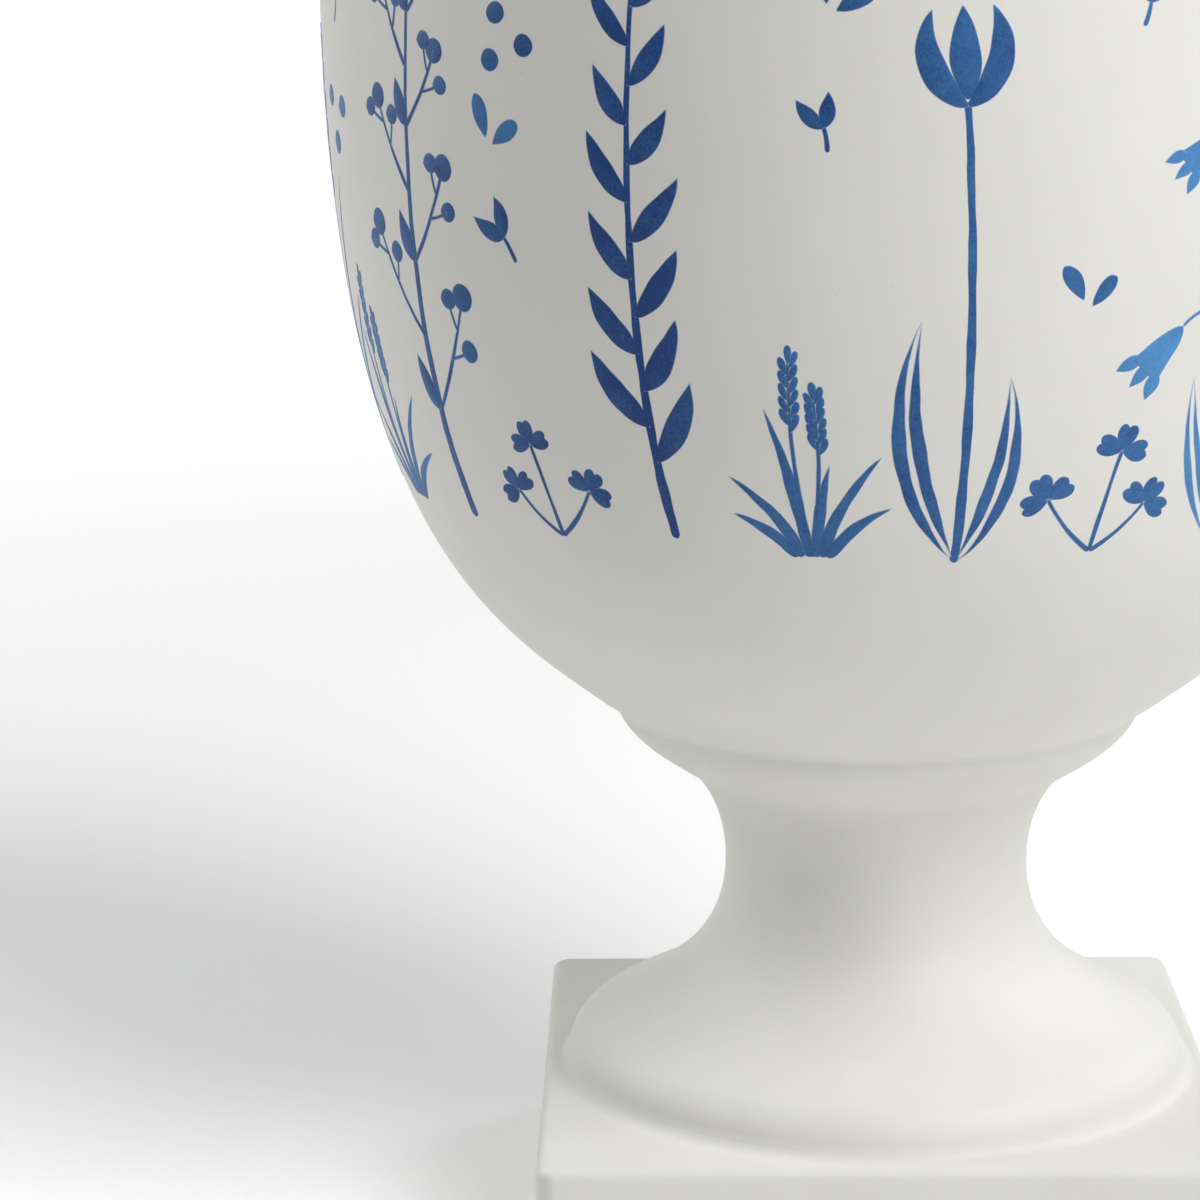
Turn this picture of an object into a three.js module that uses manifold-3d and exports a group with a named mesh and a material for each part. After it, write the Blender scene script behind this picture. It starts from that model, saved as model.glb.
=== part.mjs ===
// Footed porcelain vase on a square plinth, in millimetres, +Z up.
// The bowl, the pedestal and the plinth are three separate castings. One long bolt through the middle
// of all three clamps them together, with a rubber seal inside the bowl and a nut under the plinth.
// The origin is on the ground, at the middle of the plinth. The plinth's front looks along -Y.
import * as THREE from "three";
import { mergeVertices } from "three/addons/utils/BufferGeometryUtils.js";
import Module from "manifold-3d";

// Plinth
const plinthWidth = 120;
const plinthDeck = 8;
const plinthWall = 8;
const plinthCornerRadius = 3.5;
const plinthEdgeRadius = 1.8;
const recessCornerRadius = 15;
const recessFilletRadius = 3;
const plinthBorder = 4.5;
const seatLand = 0.1;
const seatFilletRadius = 1.1;
const boltHoleRadius = 5.25;

// Felt pads under the plinth
const padRadius = 5;
const padThickness = 1.5;
const padEdge = 0.3;

// Pedestal: foot, flare, neck and collar, from the bottom up
const footEdgeRadius = 0.5;
const footBand = 1.3;
const footRollRadius = 3.6;
const flareAngle = 47.6;
const flareFootPull = 5.4;
const flareNeckPull = 21.8;
const flareRise = 32.2;
const neckRadius = 27;
const throatNeckPull = 8.6;
const throatKneePull = 4.1;
const throatRise = 17.5;
const kneeRadius = 34;
const kneeAngle = 35.8;
const collarKneePull = 4.3;
const collarEdgePull = 5.4;
const collarEdgeAngle = 68.5;
const collarRise = 10.9;
const collarRadius = 46.3;
const collarEdgeRadius = 0.4;
const collarSeatWidth = 8.4;
const collarRecessDepth = 4;
const pedestalDeck = 8;
const pedestalWall = 8;
const pedestalCeilingRadius = 4;

// Bowl, from the joint up
const jointGap = 0.15;
const bowlBaseAngle = 42;
const bowlBasePull = 22.8;
const bowlRadius = 96.2;
const bowlRise = 130;
const bowlSidePull = 106;
const wallRise = 74.17;
const wallPull = 36;
const rimFlare = 1.4;
const bowlWall = 5;
const rimWall = 4.4;
const bowlFloorThickness = 7.5;
const bowlFloorRadius = 22;
// Where the inner wall leaves the floor, as a share of the outer curve from the joint to the shoulder.
const innerWallStart = 0.16;
const spigotClearance = 0.4;
const spigotEdgeRadius = 0.8;

// Gaskets between the castings
const seatGasketThickness = 1;
const seatGasketWidth = 22;
const footGasketThickness = 0.75;
const footGasketWidth = 5;
const footGrooveClearance = 0.3;
const gasketClearance = 0.6;
const gasketEdge = 0.1;

// Bolt with a round head and a hexagon socket, its seal and its washer
const boltRadius = 4;
const boltChamfer = 0.8;
const headRadius = 7;
const headHeight = 4.4;
const headEdge = 0.9;
const socketFlats = 5;
const socketDepth = 2.8;
const threadBeyondNut = 5.5;
const holeClearance = 0.25;
const threadClearance = 0.06;
const sealRadius = 15;
const sealThickness = 2;
const sealSleeve = 3;
const washerRadius = 13;
const washerThickness = 2.4;
const washerRim = 1;
const washerEdge = 0.3;
const washerLand = 0.6;

// Fixings under the plinth's deck
const clampPadRadius = 22;
const clampPadThickness = 1.5;
const clampPlateRadius = 20;
const clampPlateThickness = 2.5;
const plateEdge = 0.4;
const springWasherRadius = 7.4;
const springWasherThickness = 2;
const springWasherSlit = 2;
const nutFlats = 13;
const nutHeight = 6.5;
const nutChamferAngle = 30;
const nutGroundClearance = 2;

// A round corner is never drawn sharper than this, and cutters reach this far past what they cut.
const leastCorner = 0.2;
const cutterReach = 1;

// Facets
const bowlSides = 52;
const pedestalSides = 44;
const ringSides = 32;
const boltSides = 24;

// Heights above the ground, from the bottom up
const hardwareDepth =
  clampPadThickness + clampPlateThickness + springWasherThickness + nutHeight + threadBeyondNut;
const plinthHeight = plinthDeck + hardwareDepth + nutGroundClearance;
const plinthBottom = padThickness;
const deckBottom = plinthBottom + plinthHeight - plinthDeck;
const plinthTop = plinthBottom + plinthHeight;
const plinthSeat = plinthTop + seatFilletRadius + seatLand;
const pedestalBottom = plinthSeat + jointGap;
const rollBottom = pedestalBottom + footEdgeRadius + footBand;
const rollTop = rollBottom + footRollRadius * Math.cos(radians(flareAngle));
const neckHeight = rollTop + flareRise;
const kneeHeight = neckHeight + throatRise;
const collarTop = kneeHeight + collarRise;
const recessFloor = collarTop - collarRecessDepth;
const ceilingHeight = recessFloor - pedestalDeck;
const bowlBase = collarTop + jointGap;
const spigotBottom = recessFloor + seatGasketThickness;
const bowlFloor = spigotBottom + bowlFloorThickness;
const shoulderHeight = bowlBase + bowlRise;
const lipCentre = shoulderHeight + wallRise - rimWall / 2;
const headBottom = bowlFloor + sealThickness + washerThickness;

// Radii that follow from the sizes above
const footRadius = plinthWidth / 2 - plinthBorder;
const rollTopRadius = footRadius - footRollRadius * (1 - Math.sin(radians(flareAngle)));
const collarRecessRadius = collarRadius - collarSeatWidth;
const spigotRadius = collarRecessRadius - spigotClearance;
const rimRadius = bowlRadius + rimFlare;
const ceilingRadius = neckRadius - pedestalWall;

const wasm = await Module();
wasm.setup();

function radians(degrees) {
  return (degrees * Math.PI) / 180;
}

// A point of a profile: distance from the axis, and height.
function at(radius, height) {
  return new THREE.Vector2(radius, height);
}

// The point that lies `length` from `point`, in the direction `degrees` above level and outwards.
function along(point, degrees, length) {
  const angle = radians(degrees);
  return at(point.x + length * Math.cos(angle), point.y + length * Math.sin(angle));
}

function curve(start, pullStart, pullEnd, end) {
  return new THREE.CubicBezierCurve(start, pullStart, pullEnd, end);
}

// A round corner of a profile, turned about its centre from one direction to the other, in degrees.
function arc(centreRadius, centreHeight, radius, fromDegrees, toDegrees, steps) {
  const points = [];
  for (let i = 0; i <= steps; i += 1) {
    const degrees = fromDegrees + ((toDegrees - fromDegrees) * i) / steps;
    points.push(along(at(centreRadius, centreHeight), degrees, radius));
  }
  return points;
}

// The inner face of a wall: a curve moved towards the axis side by a thickness that changes evenly
// from `wallStart` to `wallEnd`, between two places on the curve given as shares of its parameter.
function innerFace(outer, wallStart, wallEnd, from, to, steps) {
  const points = [];
  for (let i = 0; i <= steps; i += 1) {
    const share = from + ((to - from) * i) / steps;
    const point = outer.getPoint(share);
    const direction = outer.getTangent(share);
    const wall = wallStart + (wallEnd - wallStart) * share;
    points.push(at(point.x - direction.y * wall, point.y + direction.x * wall));
  }
  return points;
}

// Turns a profile about the vertical axis. The profile runs upwards on the outside.
function turned(profile, sides) {
  return weld(new THREE.LatheGeometry(profile, sides).rotateX(Math.PI / 2));
}

// A ring-shaped solid: its profile is closed by going back to the first point.
function turnedRing(profile, sides) {
  return turned([...profile, profile[0].clone()], sides);
}

// A flat ring with its outer edges broken by a small chamfer.
function flatRing(innerRadius, outerRadius, bottom, thickness, edge, sides) {
  const top = bottom + thickness;
  return turnedRing(
    [
      at(innerRadius, bottom),
      at(outerRadius - edge, bottom),
      at(outerRadius, bottom + edge),
      at(outerRadius, top - edge),
      at(outerRadius - edge, top),
      at(innerRadius, top),
    ],
    sides,
  );
}

// A square plan with round corners, inset by `inset` so that a bevel brings it back to full size.
function roundedSquare(width, cornerRadius, inset) {
  const half = width / 2 - inset;
  const radius = Math.max(cornerRadius - inset, leastCorner);
  const middle = half - radius;
  const shape = new THREE.Shape();
  shape.absarc(middle, middle, radius, 0, Math.PI / 2);
  shape.absarc(-middle, middle, radius, Math.PI / 2, Math.PI);
  shape.absarc(-middle, -middle, radius, Math.PI, 1.5 * Math.PI);
  shape.absarc(middle, -middle, radius, 1.5 * Math.PI, 2 * Math.PI);
  return shape;
}

// A block with round vertical corners and rounded upper and lower edges.
function roundedBlock(width, cornerRadius, edgeRadius, bottom, top, cornerSteps) {
  const geometry = new THREE.ExtrudeGeometry(roundedSquare(width, cornerRadius, edgeRadius), {
    depth: top - bottom - 2 * edgeRadius,
    curveSegments: cornerSteps,
    bevelEnabled: true,
    bevelThickness: edgeRadius,
    bevelSize: edgeRadius,
    bevelSegments: 3,
  });
  return weld(geometry.translate(0, 0, bottom + edgeRadius));
}

function hexagonalPrism(flats, bottom, height) {
  const corner = flats / Math.sqrt(3);
  const shape = new THREE.Shape();
  for (let i = 0; i < 6; i += 1) {
    const angle = radians(60 * i);
    const [x, y] = [corner * Math.cos(angle), corner * Math.sin(angle)];
    if (i === 0) shape.moveTo(x, y);
    else shape.lineTo(x, y);
  }
  shape.closePath();
  const geometry = new THREE.ExtrudeGeometry(shape, { depth: height, bevelEnabled: false });
  return weld(geometry.translate(0, 0, bottom));
}

function weld(geometry) {
  geometry.deleteAttribute("normal");
  geometry.deleteAttribute("uv");
  return mergeVertices(geometry, 1e-3);
}

function toSolid(geometry) {
  const mesh = new wasm.Mesh({
    numProp: 3,
    vertProperties: geometry.attributes.position.array,
    triVerts: new Uint32Array(geometry.index.array),
  });
  return new wasm.Manifold(mesh);
}

function toGeometry(solid) {
  const mesh = solid.getMesh();
  const geometry = new THREE.BufferGeometry();
  geometry.setAttribute("position", new THREE.BufferAttribute(mesh.vertProperties, 3));
  geometry.setIndex(new THREE.BufferAttribute(mesh.triVerts, 1));
  return geometry;
}

// Square base, open below, with a low round seat for the pedestal and a groove in it for the gasket.
function makePlinth() {
  const body = roundedBlock(
    plinthWidth, plinthCornerRadius, plinthEdgeRadius, plinthBottom, plinthTop, 3,
  );
  const recess = roundedBlock(
    plinthWidth - 2 * plinthWall, recessCornerRadius, recessFilletRadius,
    plinthBottom - 2 * recessFilletRadius, deckBottom, 6,
  );
  const filletOuter = footRadius + footEdgeRadius + seatFilletRadius;
  const seat = turned(
    [
      at(0, plinthTop - cutterReach),
      at(filletOuter, plinthTop - cutterReach),
      ...arc(filletOuter, plinthTop + seatFilletRadius, seatFilletRadius, 270, 180, 3),
      at(footRadius + footEdgeRadius, plinthSeat),
      at(0, plinthSeat),
    ],
    pedestalSides,
  );
  const hole = turned(
    [
      at(0, deckBottom - cutterReach),
      at(boltHoleRadius, deckBottom - cutterReach),
      at(boltHoleRadius, plinthSeat + cutterReach),
      at(0, plinthSeat + cutterReach),
    ],
    boltSides,
  );
  const groove = turnedRing(
    [
      at(footGasketInner() - footGrooveClearance, footGrooveFloor()),
      at(footGasketInner() + footGasketWidth + footGrooveClearance, footGrooveFloor()),
      at(footGasketInner() + footGasketWidth + footGrooveClearance, plinthSeat + cutterReach),
      at(footGasketInner() - footGrooveClearance, plinthSeat + cutterReach),
    ],
    ringSides,
  );
  const solid = toSolid(body)
    .add(toSolid(seat))
    .subtract(toSolid(recess))
    .subtract(toSolid(hole))
    .subtract(toSolid(groove));
  return toGeometry(solid);
}

// The pedestal's outer curves, each drawn upwards.
function pedestalCurves() {
  const roll = at(rollTopRadius, rollTop);
  const neck = at(neckRadius, neckHeight);
  const knee = at(kneeRadius, kneeHeight);
  const edge = at(collarRadius, collarTop - collarEdgeRadius);
  return {
    flare: curve(
      roll,
      along(roll, 180 - flareAngle, flareFootPull),
      at(neckRadius, neckHeight - flareNeckPull),
      neck,
    ),
    throat: curve(
      neck,
      at(neckRadius, neckHeight + throatNeckPull),
      along(knee, kneeAngle, -throatKneePull),
      knee,
    ),
    collar: curve(
      knee,
      along(knee, kneeAngle, collarKneePull),
      along(edge, collarEdgeAngle, -collarEdgePull),
      edge,
    ),
  };
}

// The part of the hollow stem's inner face that lies above the joint with the plinth, from the top down.
function stemHollow(flare) {
  const face = innerFace(flare, pedestalWall, pedestalWall, 0, 1, 12).reverse();
  const above = face.filter((point) => point.y > pedestalBottom + footEdgeRadius);
  const last = above[above.length - 1];
  const slope = (last.x - above[above.length - 2].x) / (last.y - above[above.length - 2].y);
  return [...above, at(last.x + slope * (pedestalBottom - last.y), pedestalBottom)];
}

// Hollow stem with a flared foot below, and a collar above with a round recess for the bowl's spigot.
function makePedestal() {
  const curves = pedestalCurves();
  const hollow = stemHollow(curves.flare);
  const footInner = hollow.pop().x;
  const profile = [
    at(footInner, pedestalBottom),
    ...arc(
      footRadius - footEdgeRadius, pedestalBottom + footEdgeRadius, footEdgeRadius, 270, 360, 2,
    ),
    ...arc(footRadius - footRollRadius, rollBottom, footRollRadius, 0, 90 - flareAngle, 3),
    ...curves.flare.getPoints(9).slice(1),
    ...curves.throat.getPoints(5).slice(1),
    ...curves.collar.getPoints(5).slice(1),
    at(collarRadius - collarEdgeRadius, collarTop),
    at(collarRecessRadius, collarTop),
    at(collarRecessRadius, recessFloor),
    at(boltHoleRadius, recessFloor),
    at(boltHoleRadius, ceilingHeight),
    ...arc(
      ceilingRadius - pedestalCeilingRadius, ceilingHeight - pedestalCeilingRadius,
      pedestalCeilingRadius, 90, 0, 3,
    ),
    ...hollow,
  ];
  return turnedRing(profile, pedestalSides);
}

// Deep bowl with a near-upright side, a rounded lip, and a short spigot below that drops into the collar.
function makeBowl() {
  const base = at(collarRadius, bowlBase);
  const shoulder = at(bowlRadius, shoulderHeight);
  const lip = at(rimRadius, lipCentre);
  const lower = curve(
    base,
    along(base, bowlBaseAngle, bowlBasePull),
    at(bowlRadius, shoulderHeight - bowlSidePull),
    shoulder,
  );
  const upper = curve(
    shoulder,
    at(bowlRadius, shoulderHeight + wallPull),
    at(rimRadius - rimFlare / 3, lipCentre - wallPull / 3),
    lip,
  );
  const middleWall = (bowlWall + rimWall) / 2;
  const inside = innerFace(lower, bowlWall, middleWall, innerWallStart, 1, 10);
  const innerUpper = innerFace(upper, middleWall, rimWall, 0, 1, 4).slice(1, -1);
  const innerFoot = inside[0];
  const innerSlope = lower.getTangent(innerWallStart);
  const floorPull = (innerFoot.x - bowlFloorRadius) / 3;
  const floor = curve(
    at(bowlFloorRadius, bowlFloor),
    at(bowlFloorRadius + floorPull, bowlFloor),
    at(innerFoot.x - innerSlope.x * floorPull, innerFoot.y - innerSlope.y * floorPull),
    innerFoot,
  );
  const profile = [
    at(boltHoleRadius, spigotBottom),
    ...arc(
      spigotRadius - spigotEdgeRadius, spigotBottom + spigotEdgeRadius, spigotEdgeRadius, 270, 360, 2,
    ),
    at(spigotRadius, bowlBase),
    ...lower.getPoints(12),
    ...upper.getPoints(4).slice(1, -1),
    ...arc(rimRadius - rimWall / 2, lipCentre, rimWall / 2, 0, 180, 6),
    ...innerUpper.reverse(),
    ...inside.reverse(),
    ...floor.getPoints(4).slice(0, -1).reverse(),
    at(boltHoleRadius, bowlFloor),
  ];
  return turnedRing(profile, bowlSides);
}

// The foot gasket lies under the middle of the pedestal's foot ring.
function footGasketInner() {
  const hollow = stemHollow(pedestalCurves().flare);
  const footInner = hollow[hollow.length - 1].x;
  return (footInner + footRadius - footGasketWidth) / 2;
}

function footGrooveFloor() {
  return pedestalBottom - footGasketThickness;
}

function makeFootGasket() {
  const inner = footGasketInner();
  const outer = inner + footGasketWidth;
  return flatRing(inner, outer, footGrooveFloor(), footGasketThickness, gasketEdge, ringSides);
}

function makeSeatGasket() {
  const outer = spigotRadius - gasketClearance;
  const inner = outer - seatGasketWidth;
  return flatRing(inner, outer, recessFloor, seatGasketThickness, gasketEdge, ringSides);
}

// Round-headed bolt that runs from inside the bowl to below the plinth's deck.
function makeTieBolt() {
  const shankEnd = deckBottom - hardwareDepth;
  const headTop = headBottom + headHeight;
  const dome = curve(
    at(headRadius, headBottom + headEdge),
    at(headRadius, headBottom + headHeight * 0.6),
    at(headRadius * 0.75, headTop),
    at(headRadius * 0.45, headTop),
  );
  const body = turned(
    [
      at(0, shankEnd),
      at(boltRadius - boltChamfer, shankEnd),
      at(boltRadius, shankEnd + boltChamfer),
      at(boltRadius, headBottom),
      at(headRadius, headBottom),
      ...dome.getPoints(5),
      at(0, headTop),
    ],
    boltSides,
  );
  const socket = hexagonalPrism(socketFlats, headTop - socketDepth, socketDepth + cutterReach);
  return toGeometry(toSolid(body).subtract(toSolid(socket)));
}

// Turned washer: flat under the bolt's head, then falling away to a thin rim.
function makeBowlWasher() {
  const bottom = bowlFloor + sealThickness;
  const land = headRadius + washerLand;
  const fall = curve(
    at(washerRadius, bottom + washerRim),
    at(washerRadius - (washerRadius - land) / 3, bottom + washerThickness * 0.85),
    at(land + (washerRadius - land) / 3, bottom + washerThickness),
    at(land, bottom + washerThickness),
  );
  return turnedRing(
    [
      at(boltRadius + holeClearance, bottom),
      at(washerRadius - washerEdge, bottom),
      at(washerRadius, bottom + washerEdge),
      ...fall.getPoints(4),
      at(boltRadius + holeClearance, bottom + washerThickness),
    ],
    ringSides,
  );
}

// Rubber seal: a disc on the bowl's floor, with a sleeve that fills the top of the bolt's hole.
function makeBowlSeal() {
  const inner = boltRadius + holeClearance;
  const sleeveRadius = boltHoleRadius - holeClearance;
  const top = bowlFloor + sealThickness;
  const edge = sealThickness / 2;
  return turnedRing(
    [
      at(inner, bowlFloor - sealSleeve),
      at(sleeveRadius, bowlFloor - sealSleeve),
      at(sleeveRadius, bowlFloor),
      ...arc(sealRadius - edge, bowlFloor + edge, edge, 270, 450, 4),
      at(inner, top),
    ],
    ringSides,
  );
}

// Heights of the fixings that hang under the plinth's deck, from the deck down.
const clampPadBottom = deckBottom - clampPadThickness;
const clampPlateBottom = clampPadBottom - clampPlateThickness;
const springWasherBottom = clampPlateBottom - springWasherThickness;
const nutBottom = springWasherBottom - nutHeight;

function makeClampPad() {
  return flatRing(
    boltHoleRadius, clampPadRadius, clampPadBottom, clampPadThickness, gasketEdge, ringSides,
  );
}

function makeClampPlate() {
  const inner = boltRadius + holeClearance;
  return flatRing(
    inner, clampPlateRadius, clampPlateBottom, clampPlateThickness, plateEdge, ringSides,
  );
}

// Split ring: a flat ring with a slit on one side.
function makeSpringWasher() {
  const inner = boltRadius + holeClearance;
  const halfSlit = springWasherSlit / 2 / springWasherRadius;
  const shape = new THREE.Shape();
  shape.absarc(0, 0, springWasherRadius, halfSlit, 2 * Math.PI - halfSlit, false);
  shape.absarc(0, 0, inner, 2 * Math.PI - halfSlit, halfSlit, true);
  shape.closePath();
  const geometry = new THREE.ExtrudeGeometry(shape, {
    depth: springWasherThickness,
    curveSegments: ringSides / 2,
    bevelEnabled: false,
  });
  return weld(geometry.translate(0, 0, springWasherBottom));
}

// Hexagon nut with its corners turned off at both ends.
function makeHexNut() {
  const corner = nutFlats / Math.sqrt(3);
  const chamfer = (corner - nutFlats / 2) * Math.tan(radians(nutChamferAngle));
  const bore = boltRadius + threadClearance;
  const nutTop = nutBottom + nutHeight;
  const barrel = turnedRing(
    [
      at(bore, nutBottom),
      at(nutFlats / 2, nutBottom),
      at(corner, nutBottom + chamfer),
      at(corner, nutTop - chamfer),
      at(nutFlats / 2, nutTop),
      at(bore, nutTop),
    ],
    boltSides,
  );
  const prism = hexagonalPrism(nutFlats, nutBottom - cutterReach, nutHeight + 2 * cutterReach);
  return toGeometry(toSolid(barrel).intersect(toSolid(prism)));
}

// Middle of the land between a corner of the plinth and the round corner of its recess.
function padPlace() {
  const outer = (plinthWidth / 2 - plinthCornerRadius) * Math.SQRT2 + plinthCornerRadius;
  const inner =
    (plinthWidth / 2 - plinthWall - recessCornerRadius) * Math.SQRT2 + recessCornerRadius;
  return (outer + inner) / 2 / Math.SQRT2;
}

// Felt disc with broken edges, drawn about its own middle.
function makeBasePad() {
  return turned(
    [
      at(0, 0),
      at(padRadius - padEdge, 0),
      at(padRadius, padEdge),
      at(padRadius, padThickness),
      at(0, padThickness),
    ],
    boltSides,
  );
}

const porcelain = new THREE.MeshStandardMaterial({ color: 0xe3e3de, roughness: 0.5, metalness: 0 });
const steel = new THREE.MeshStandardMaterial({ color: 0xb4b6b8, roughness: 0.35, metalness: 1 });
const rubber = new THREE.MeshStandardMaterial({ color: 0x2b2b2c, roughness: 0.8, metalness: 0 });
const cork = new THREE.MeshStandardMaterial({ color: 0xb98d5c, roughness: 0.9, metalness: 0 });
const felt = new THREE.MeshStandardMaterial({ color: 0xd8d4c8, roughness: 1, metalness: 0 });

const vase = new THREE.Group();

function place(name, geometry, material, x = 0, y = 0) {
  geometry.computeVertexNormals();
  const mesh = new THREE.Mesh(geometry, material);
  mesh.name = name;
  mesh.position.set(x, y, 0);
  vase.add(mesh);
}

place("bowl", makeBowl(), porcelain);
place("pedestal", makePedestal(), porcelain);
place("plinth", makePlinth(), porcelain);
place("seat_gasket", makeSeatGasket(), cork);
place("foot_gasket", makeFootGasket(), cork);
place("tie_bolt", makeTieBolt(), steel);
place("bowl_washer", makeBowlWasher(), steel);
place("bowl_seal", makeBowlSeal(), rubber);
place("clamp_pad", makeClampPad(), cork);
place("clamp_plate", makeClampPlate(), steel);
place("spring_washer", makeSpringWasher(), steel);
place("hex_nut", makeHexNut(), steel);
for (let corner = 0; corner < 4; corner += 1) {
  const side = corner % 2 === 0 ? -1 : 1;
  const end = corner < 2 ? -1 : 1;
  place(`base_pad_${corner + 1}`, makeBasePad(), felt, side * padPlace(), end * padPlace());
}

export default vase;
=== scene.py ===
"""Footed porcelain vase: a bowl, a pedestal and a square plinth, bolted together through the middle.

Shapes are worked out in millimetres, as numpy grids, and go into their meshes in metres. The origin is
on the ground under the middle of the plinth, +Z is up, and the plinth's front looks along -Y.
"""

import math

import bmesh
import bpy
import numpy as np
from mathutils import Matrix, Vector


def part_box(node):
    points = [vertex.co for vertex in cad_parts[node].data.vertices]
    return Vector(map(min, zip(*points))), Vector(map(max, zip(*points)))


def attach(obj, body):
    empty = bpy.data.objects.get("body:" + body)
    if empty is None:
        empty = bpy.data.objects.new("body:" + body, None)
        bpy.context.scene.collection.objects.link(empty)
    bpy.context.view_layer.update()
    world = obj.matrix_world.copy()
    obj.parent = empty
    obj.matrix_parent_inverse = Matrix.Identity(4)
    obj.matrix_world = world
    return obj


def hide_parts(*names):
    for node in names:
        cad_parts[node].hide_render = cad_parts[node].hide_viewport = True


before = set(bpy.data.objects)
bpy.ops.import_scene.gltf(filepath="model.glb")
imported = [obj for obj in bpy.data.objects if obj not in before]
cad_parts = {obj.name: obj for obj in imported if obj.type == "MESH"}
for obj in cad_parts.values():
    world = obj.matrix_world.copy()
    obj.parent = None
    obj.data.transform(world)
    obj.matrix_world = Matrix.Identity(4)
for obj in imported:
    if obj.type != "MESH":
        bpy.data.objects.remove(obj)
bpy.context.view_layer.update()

MM = 0.001

# Plinth
PLINTH_HALF = 60.0
PLINTH_BOTTOM = 1.5
PLINTH_TOP = 29.5
PLINTH_CORNER = 3.5
PLINTH_EDGE = 1.8
DECK_BOTTOM = 21.5
RECESS_HALF = 52.0
RECESS_CORNER = 15.0
RECESS_FILLET = 3.0
SEAT_TOP = 30.845
GROOVE_FLOOR = 30.1
GROOVE_CLEARANCE = 0.3
BOLT_HOLE = 5.25
# How far a supporting ring stands from a rounded edge, and from an edge of the base land, and the
# break of the recess's lower edge
BESIDE = 0.5
LAND_BESIDE = 0.4
LAND_BREAK = 0.12

# Pedestal. A pull is the length of a curve's handle.
PEDESTAL_BOTTOM = 30.85
TOE_RADIUS = 58.0
FOOT_RADIUS = 56.0
FOOT_FILLET = 3.0
FOOT_EDGE = 0.02
ROLL_RADIUS = 55.0
ROLL_HEIGHT = 34.7
ROLL_EASE = 2.0
FLARE_RADIUS = 53.2
FLARE_HEIGHT = 36.88
FLARE_ANGLE = 47.6
FLARE_FOOT_PULL = 5.4
FLARE_NECK_PULL = 21.8
NECK_RADIUS = 27.0
NECK_HEIGHT = 67.28
THROAT_NECK_PULL = 8.6
THROAT_KNEE_PULL = 4.1
KNEE_RADIUS = 34.0
KNEE_HEIGHT = 84.78
KNEE_ANGLE = 35.8
COLLAR_KNEE_PULL = 4.3
COLLAR_EDGE_PULL = 5.4
COLLAR_RADIUS = 46.3
COLLAR_TOP = 95.68
COLLAR_EDGE = 0.015
JOINT_RISE = 1.25
JOINT_EASE = 1.15
JOINT_ABOVE = 6.0
COLLAR_EDGE_ANGLE = 68.5
COLLAR_RECESS_RADIUS = 37.9
COLLAR_RECESS_FLOOR = 91.68
STEM_CEILING = 83.68
STEM_CEILING_RADIUS = 19.0
STEM_CEILING_ROUND = 4.0
PEDESTAL_WALL = 8.0
# The stem's inner face runs on straight below this height over the pedestal's bottom
HOLLOW_STRAIGHT = 0.5

# Bowl. Its joint with the collar is drawn nearly closed.
BOWL_BASE = 95.685
BOWL_CURVE_START = 95.83
BOWL_BASE_ANGLE = 42.0
BOWL_BASE_PULL = 22.8
BOWL_RADIUS = 96.2
BOWL_SIDE_PULL = 106.0
SHOULDER_HEIGHT = 225.83
WALL_PULL = 36.0
RIM_FLARE = 1.4
RIM_RADIUS = BOWL_RADIUS + RIM_FLARE
RIM_PULL = 12.0
LIP_CENTRE = 297.8
LIP_RADIUS = 2.2
# Where the inner wall leaves the floor, as a share of the outer curve from the joint to the shoulder
INNER_WALL_START = 0.16
BOWL_WALL = 5.0
RIM_WALL = 4.4
BOWL_FLOOR = 100.18
BOWL_FLOOR_RADIUS = 22.0
SPIGOT_RADIUS = 37.5
SPIGOT_BOTTOM = 92.68

# Gaskets and the bowl's seal
SEAT_GASKET_WIDTH = 22.0
FOOT_GASKET_WIDTH = 5.0
SEAL_RADIUS = 15.0
SEAL_THICKNESS = 2.0
SLEEVE_RADIUS = 5.0
SLEEVE_LENGTH = 3.0

# Bolt, nut and washers
BOLT_RADIUS = 4.0
BOLT_END = 3.5
BOLT_POINT = 2.9
HEAD_BOTTOM = 104.58
HEAD_TOP = 108.98
HEAD_RADIUS = 7.0
HEAD_EDGE = 0.9
WASHER_RADIUS = 13.0
WASHER_LAND = 7.6
WASHER_RIM = 1.0
WASHER_THICKNESS = 2.4
SOCKET_FLATS = 5.0
SOCKET_DEPTH = 2.8
THREAD_PITCH = 1.25
THREAD_DEPTH = 0.69
THREAD_TOP = 31.0
THREAD_FADE = 2.5
THREAD_CLEARANCE = 0.06
NUT_BOTTOM = 9.0
NUT_TOP = 15.5
NUT_FLATS = 13.0
NUT_CHAMFER_ANGLE = 30.0
BORE_CHAMFER = 0.45
SPRING_BOTTOM = 15.5
SPRING_TOP = 17.5
SPRING_OUTER = 7.4
SPRING_SLIT = 2.0
# Turn of the slit's side for each millimetre of height, in radians
SPRING_SLANT = 0.16
HOLE_INNER = 4.25

# Felt pads: half of the section as radius and height, and how far the cut edge frays
PAD_SECTION = (
    (0, 0), (3, 0), (4.4, 0), (4.72, 0.05), (4.9, 0.2), (4.98, 0.45), (4.97, 1.2), (4.9, 1.5), (0, 1.5),
)
PAD_SHRINK = 0.99
PAD_FRAY = 0.007

# Print on the bowl: how far it stands above the porcelain, and how its rims dip into it
PRINT_LIFT = 0.045
PRINT_LAYER = 0.012
PRINT_DIP = -0.03
PRINT_RIM = 0.35
# Places of the loose sprigs, as column and row, that a plant already fills
CROWDED = {(1, 0), (2, 1), (3, 2), (5, 1), (11, 0)}

BOWL_SIDES = 240
PEDESTAL_SIDES = 192
RING_SIDES = 128
NUT_SIDES = 144
BOLT_SIDES = 96
PAD_SIDES = 96

# The largest phase of a random wave, in radians
PHASE = 6.28

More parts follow.
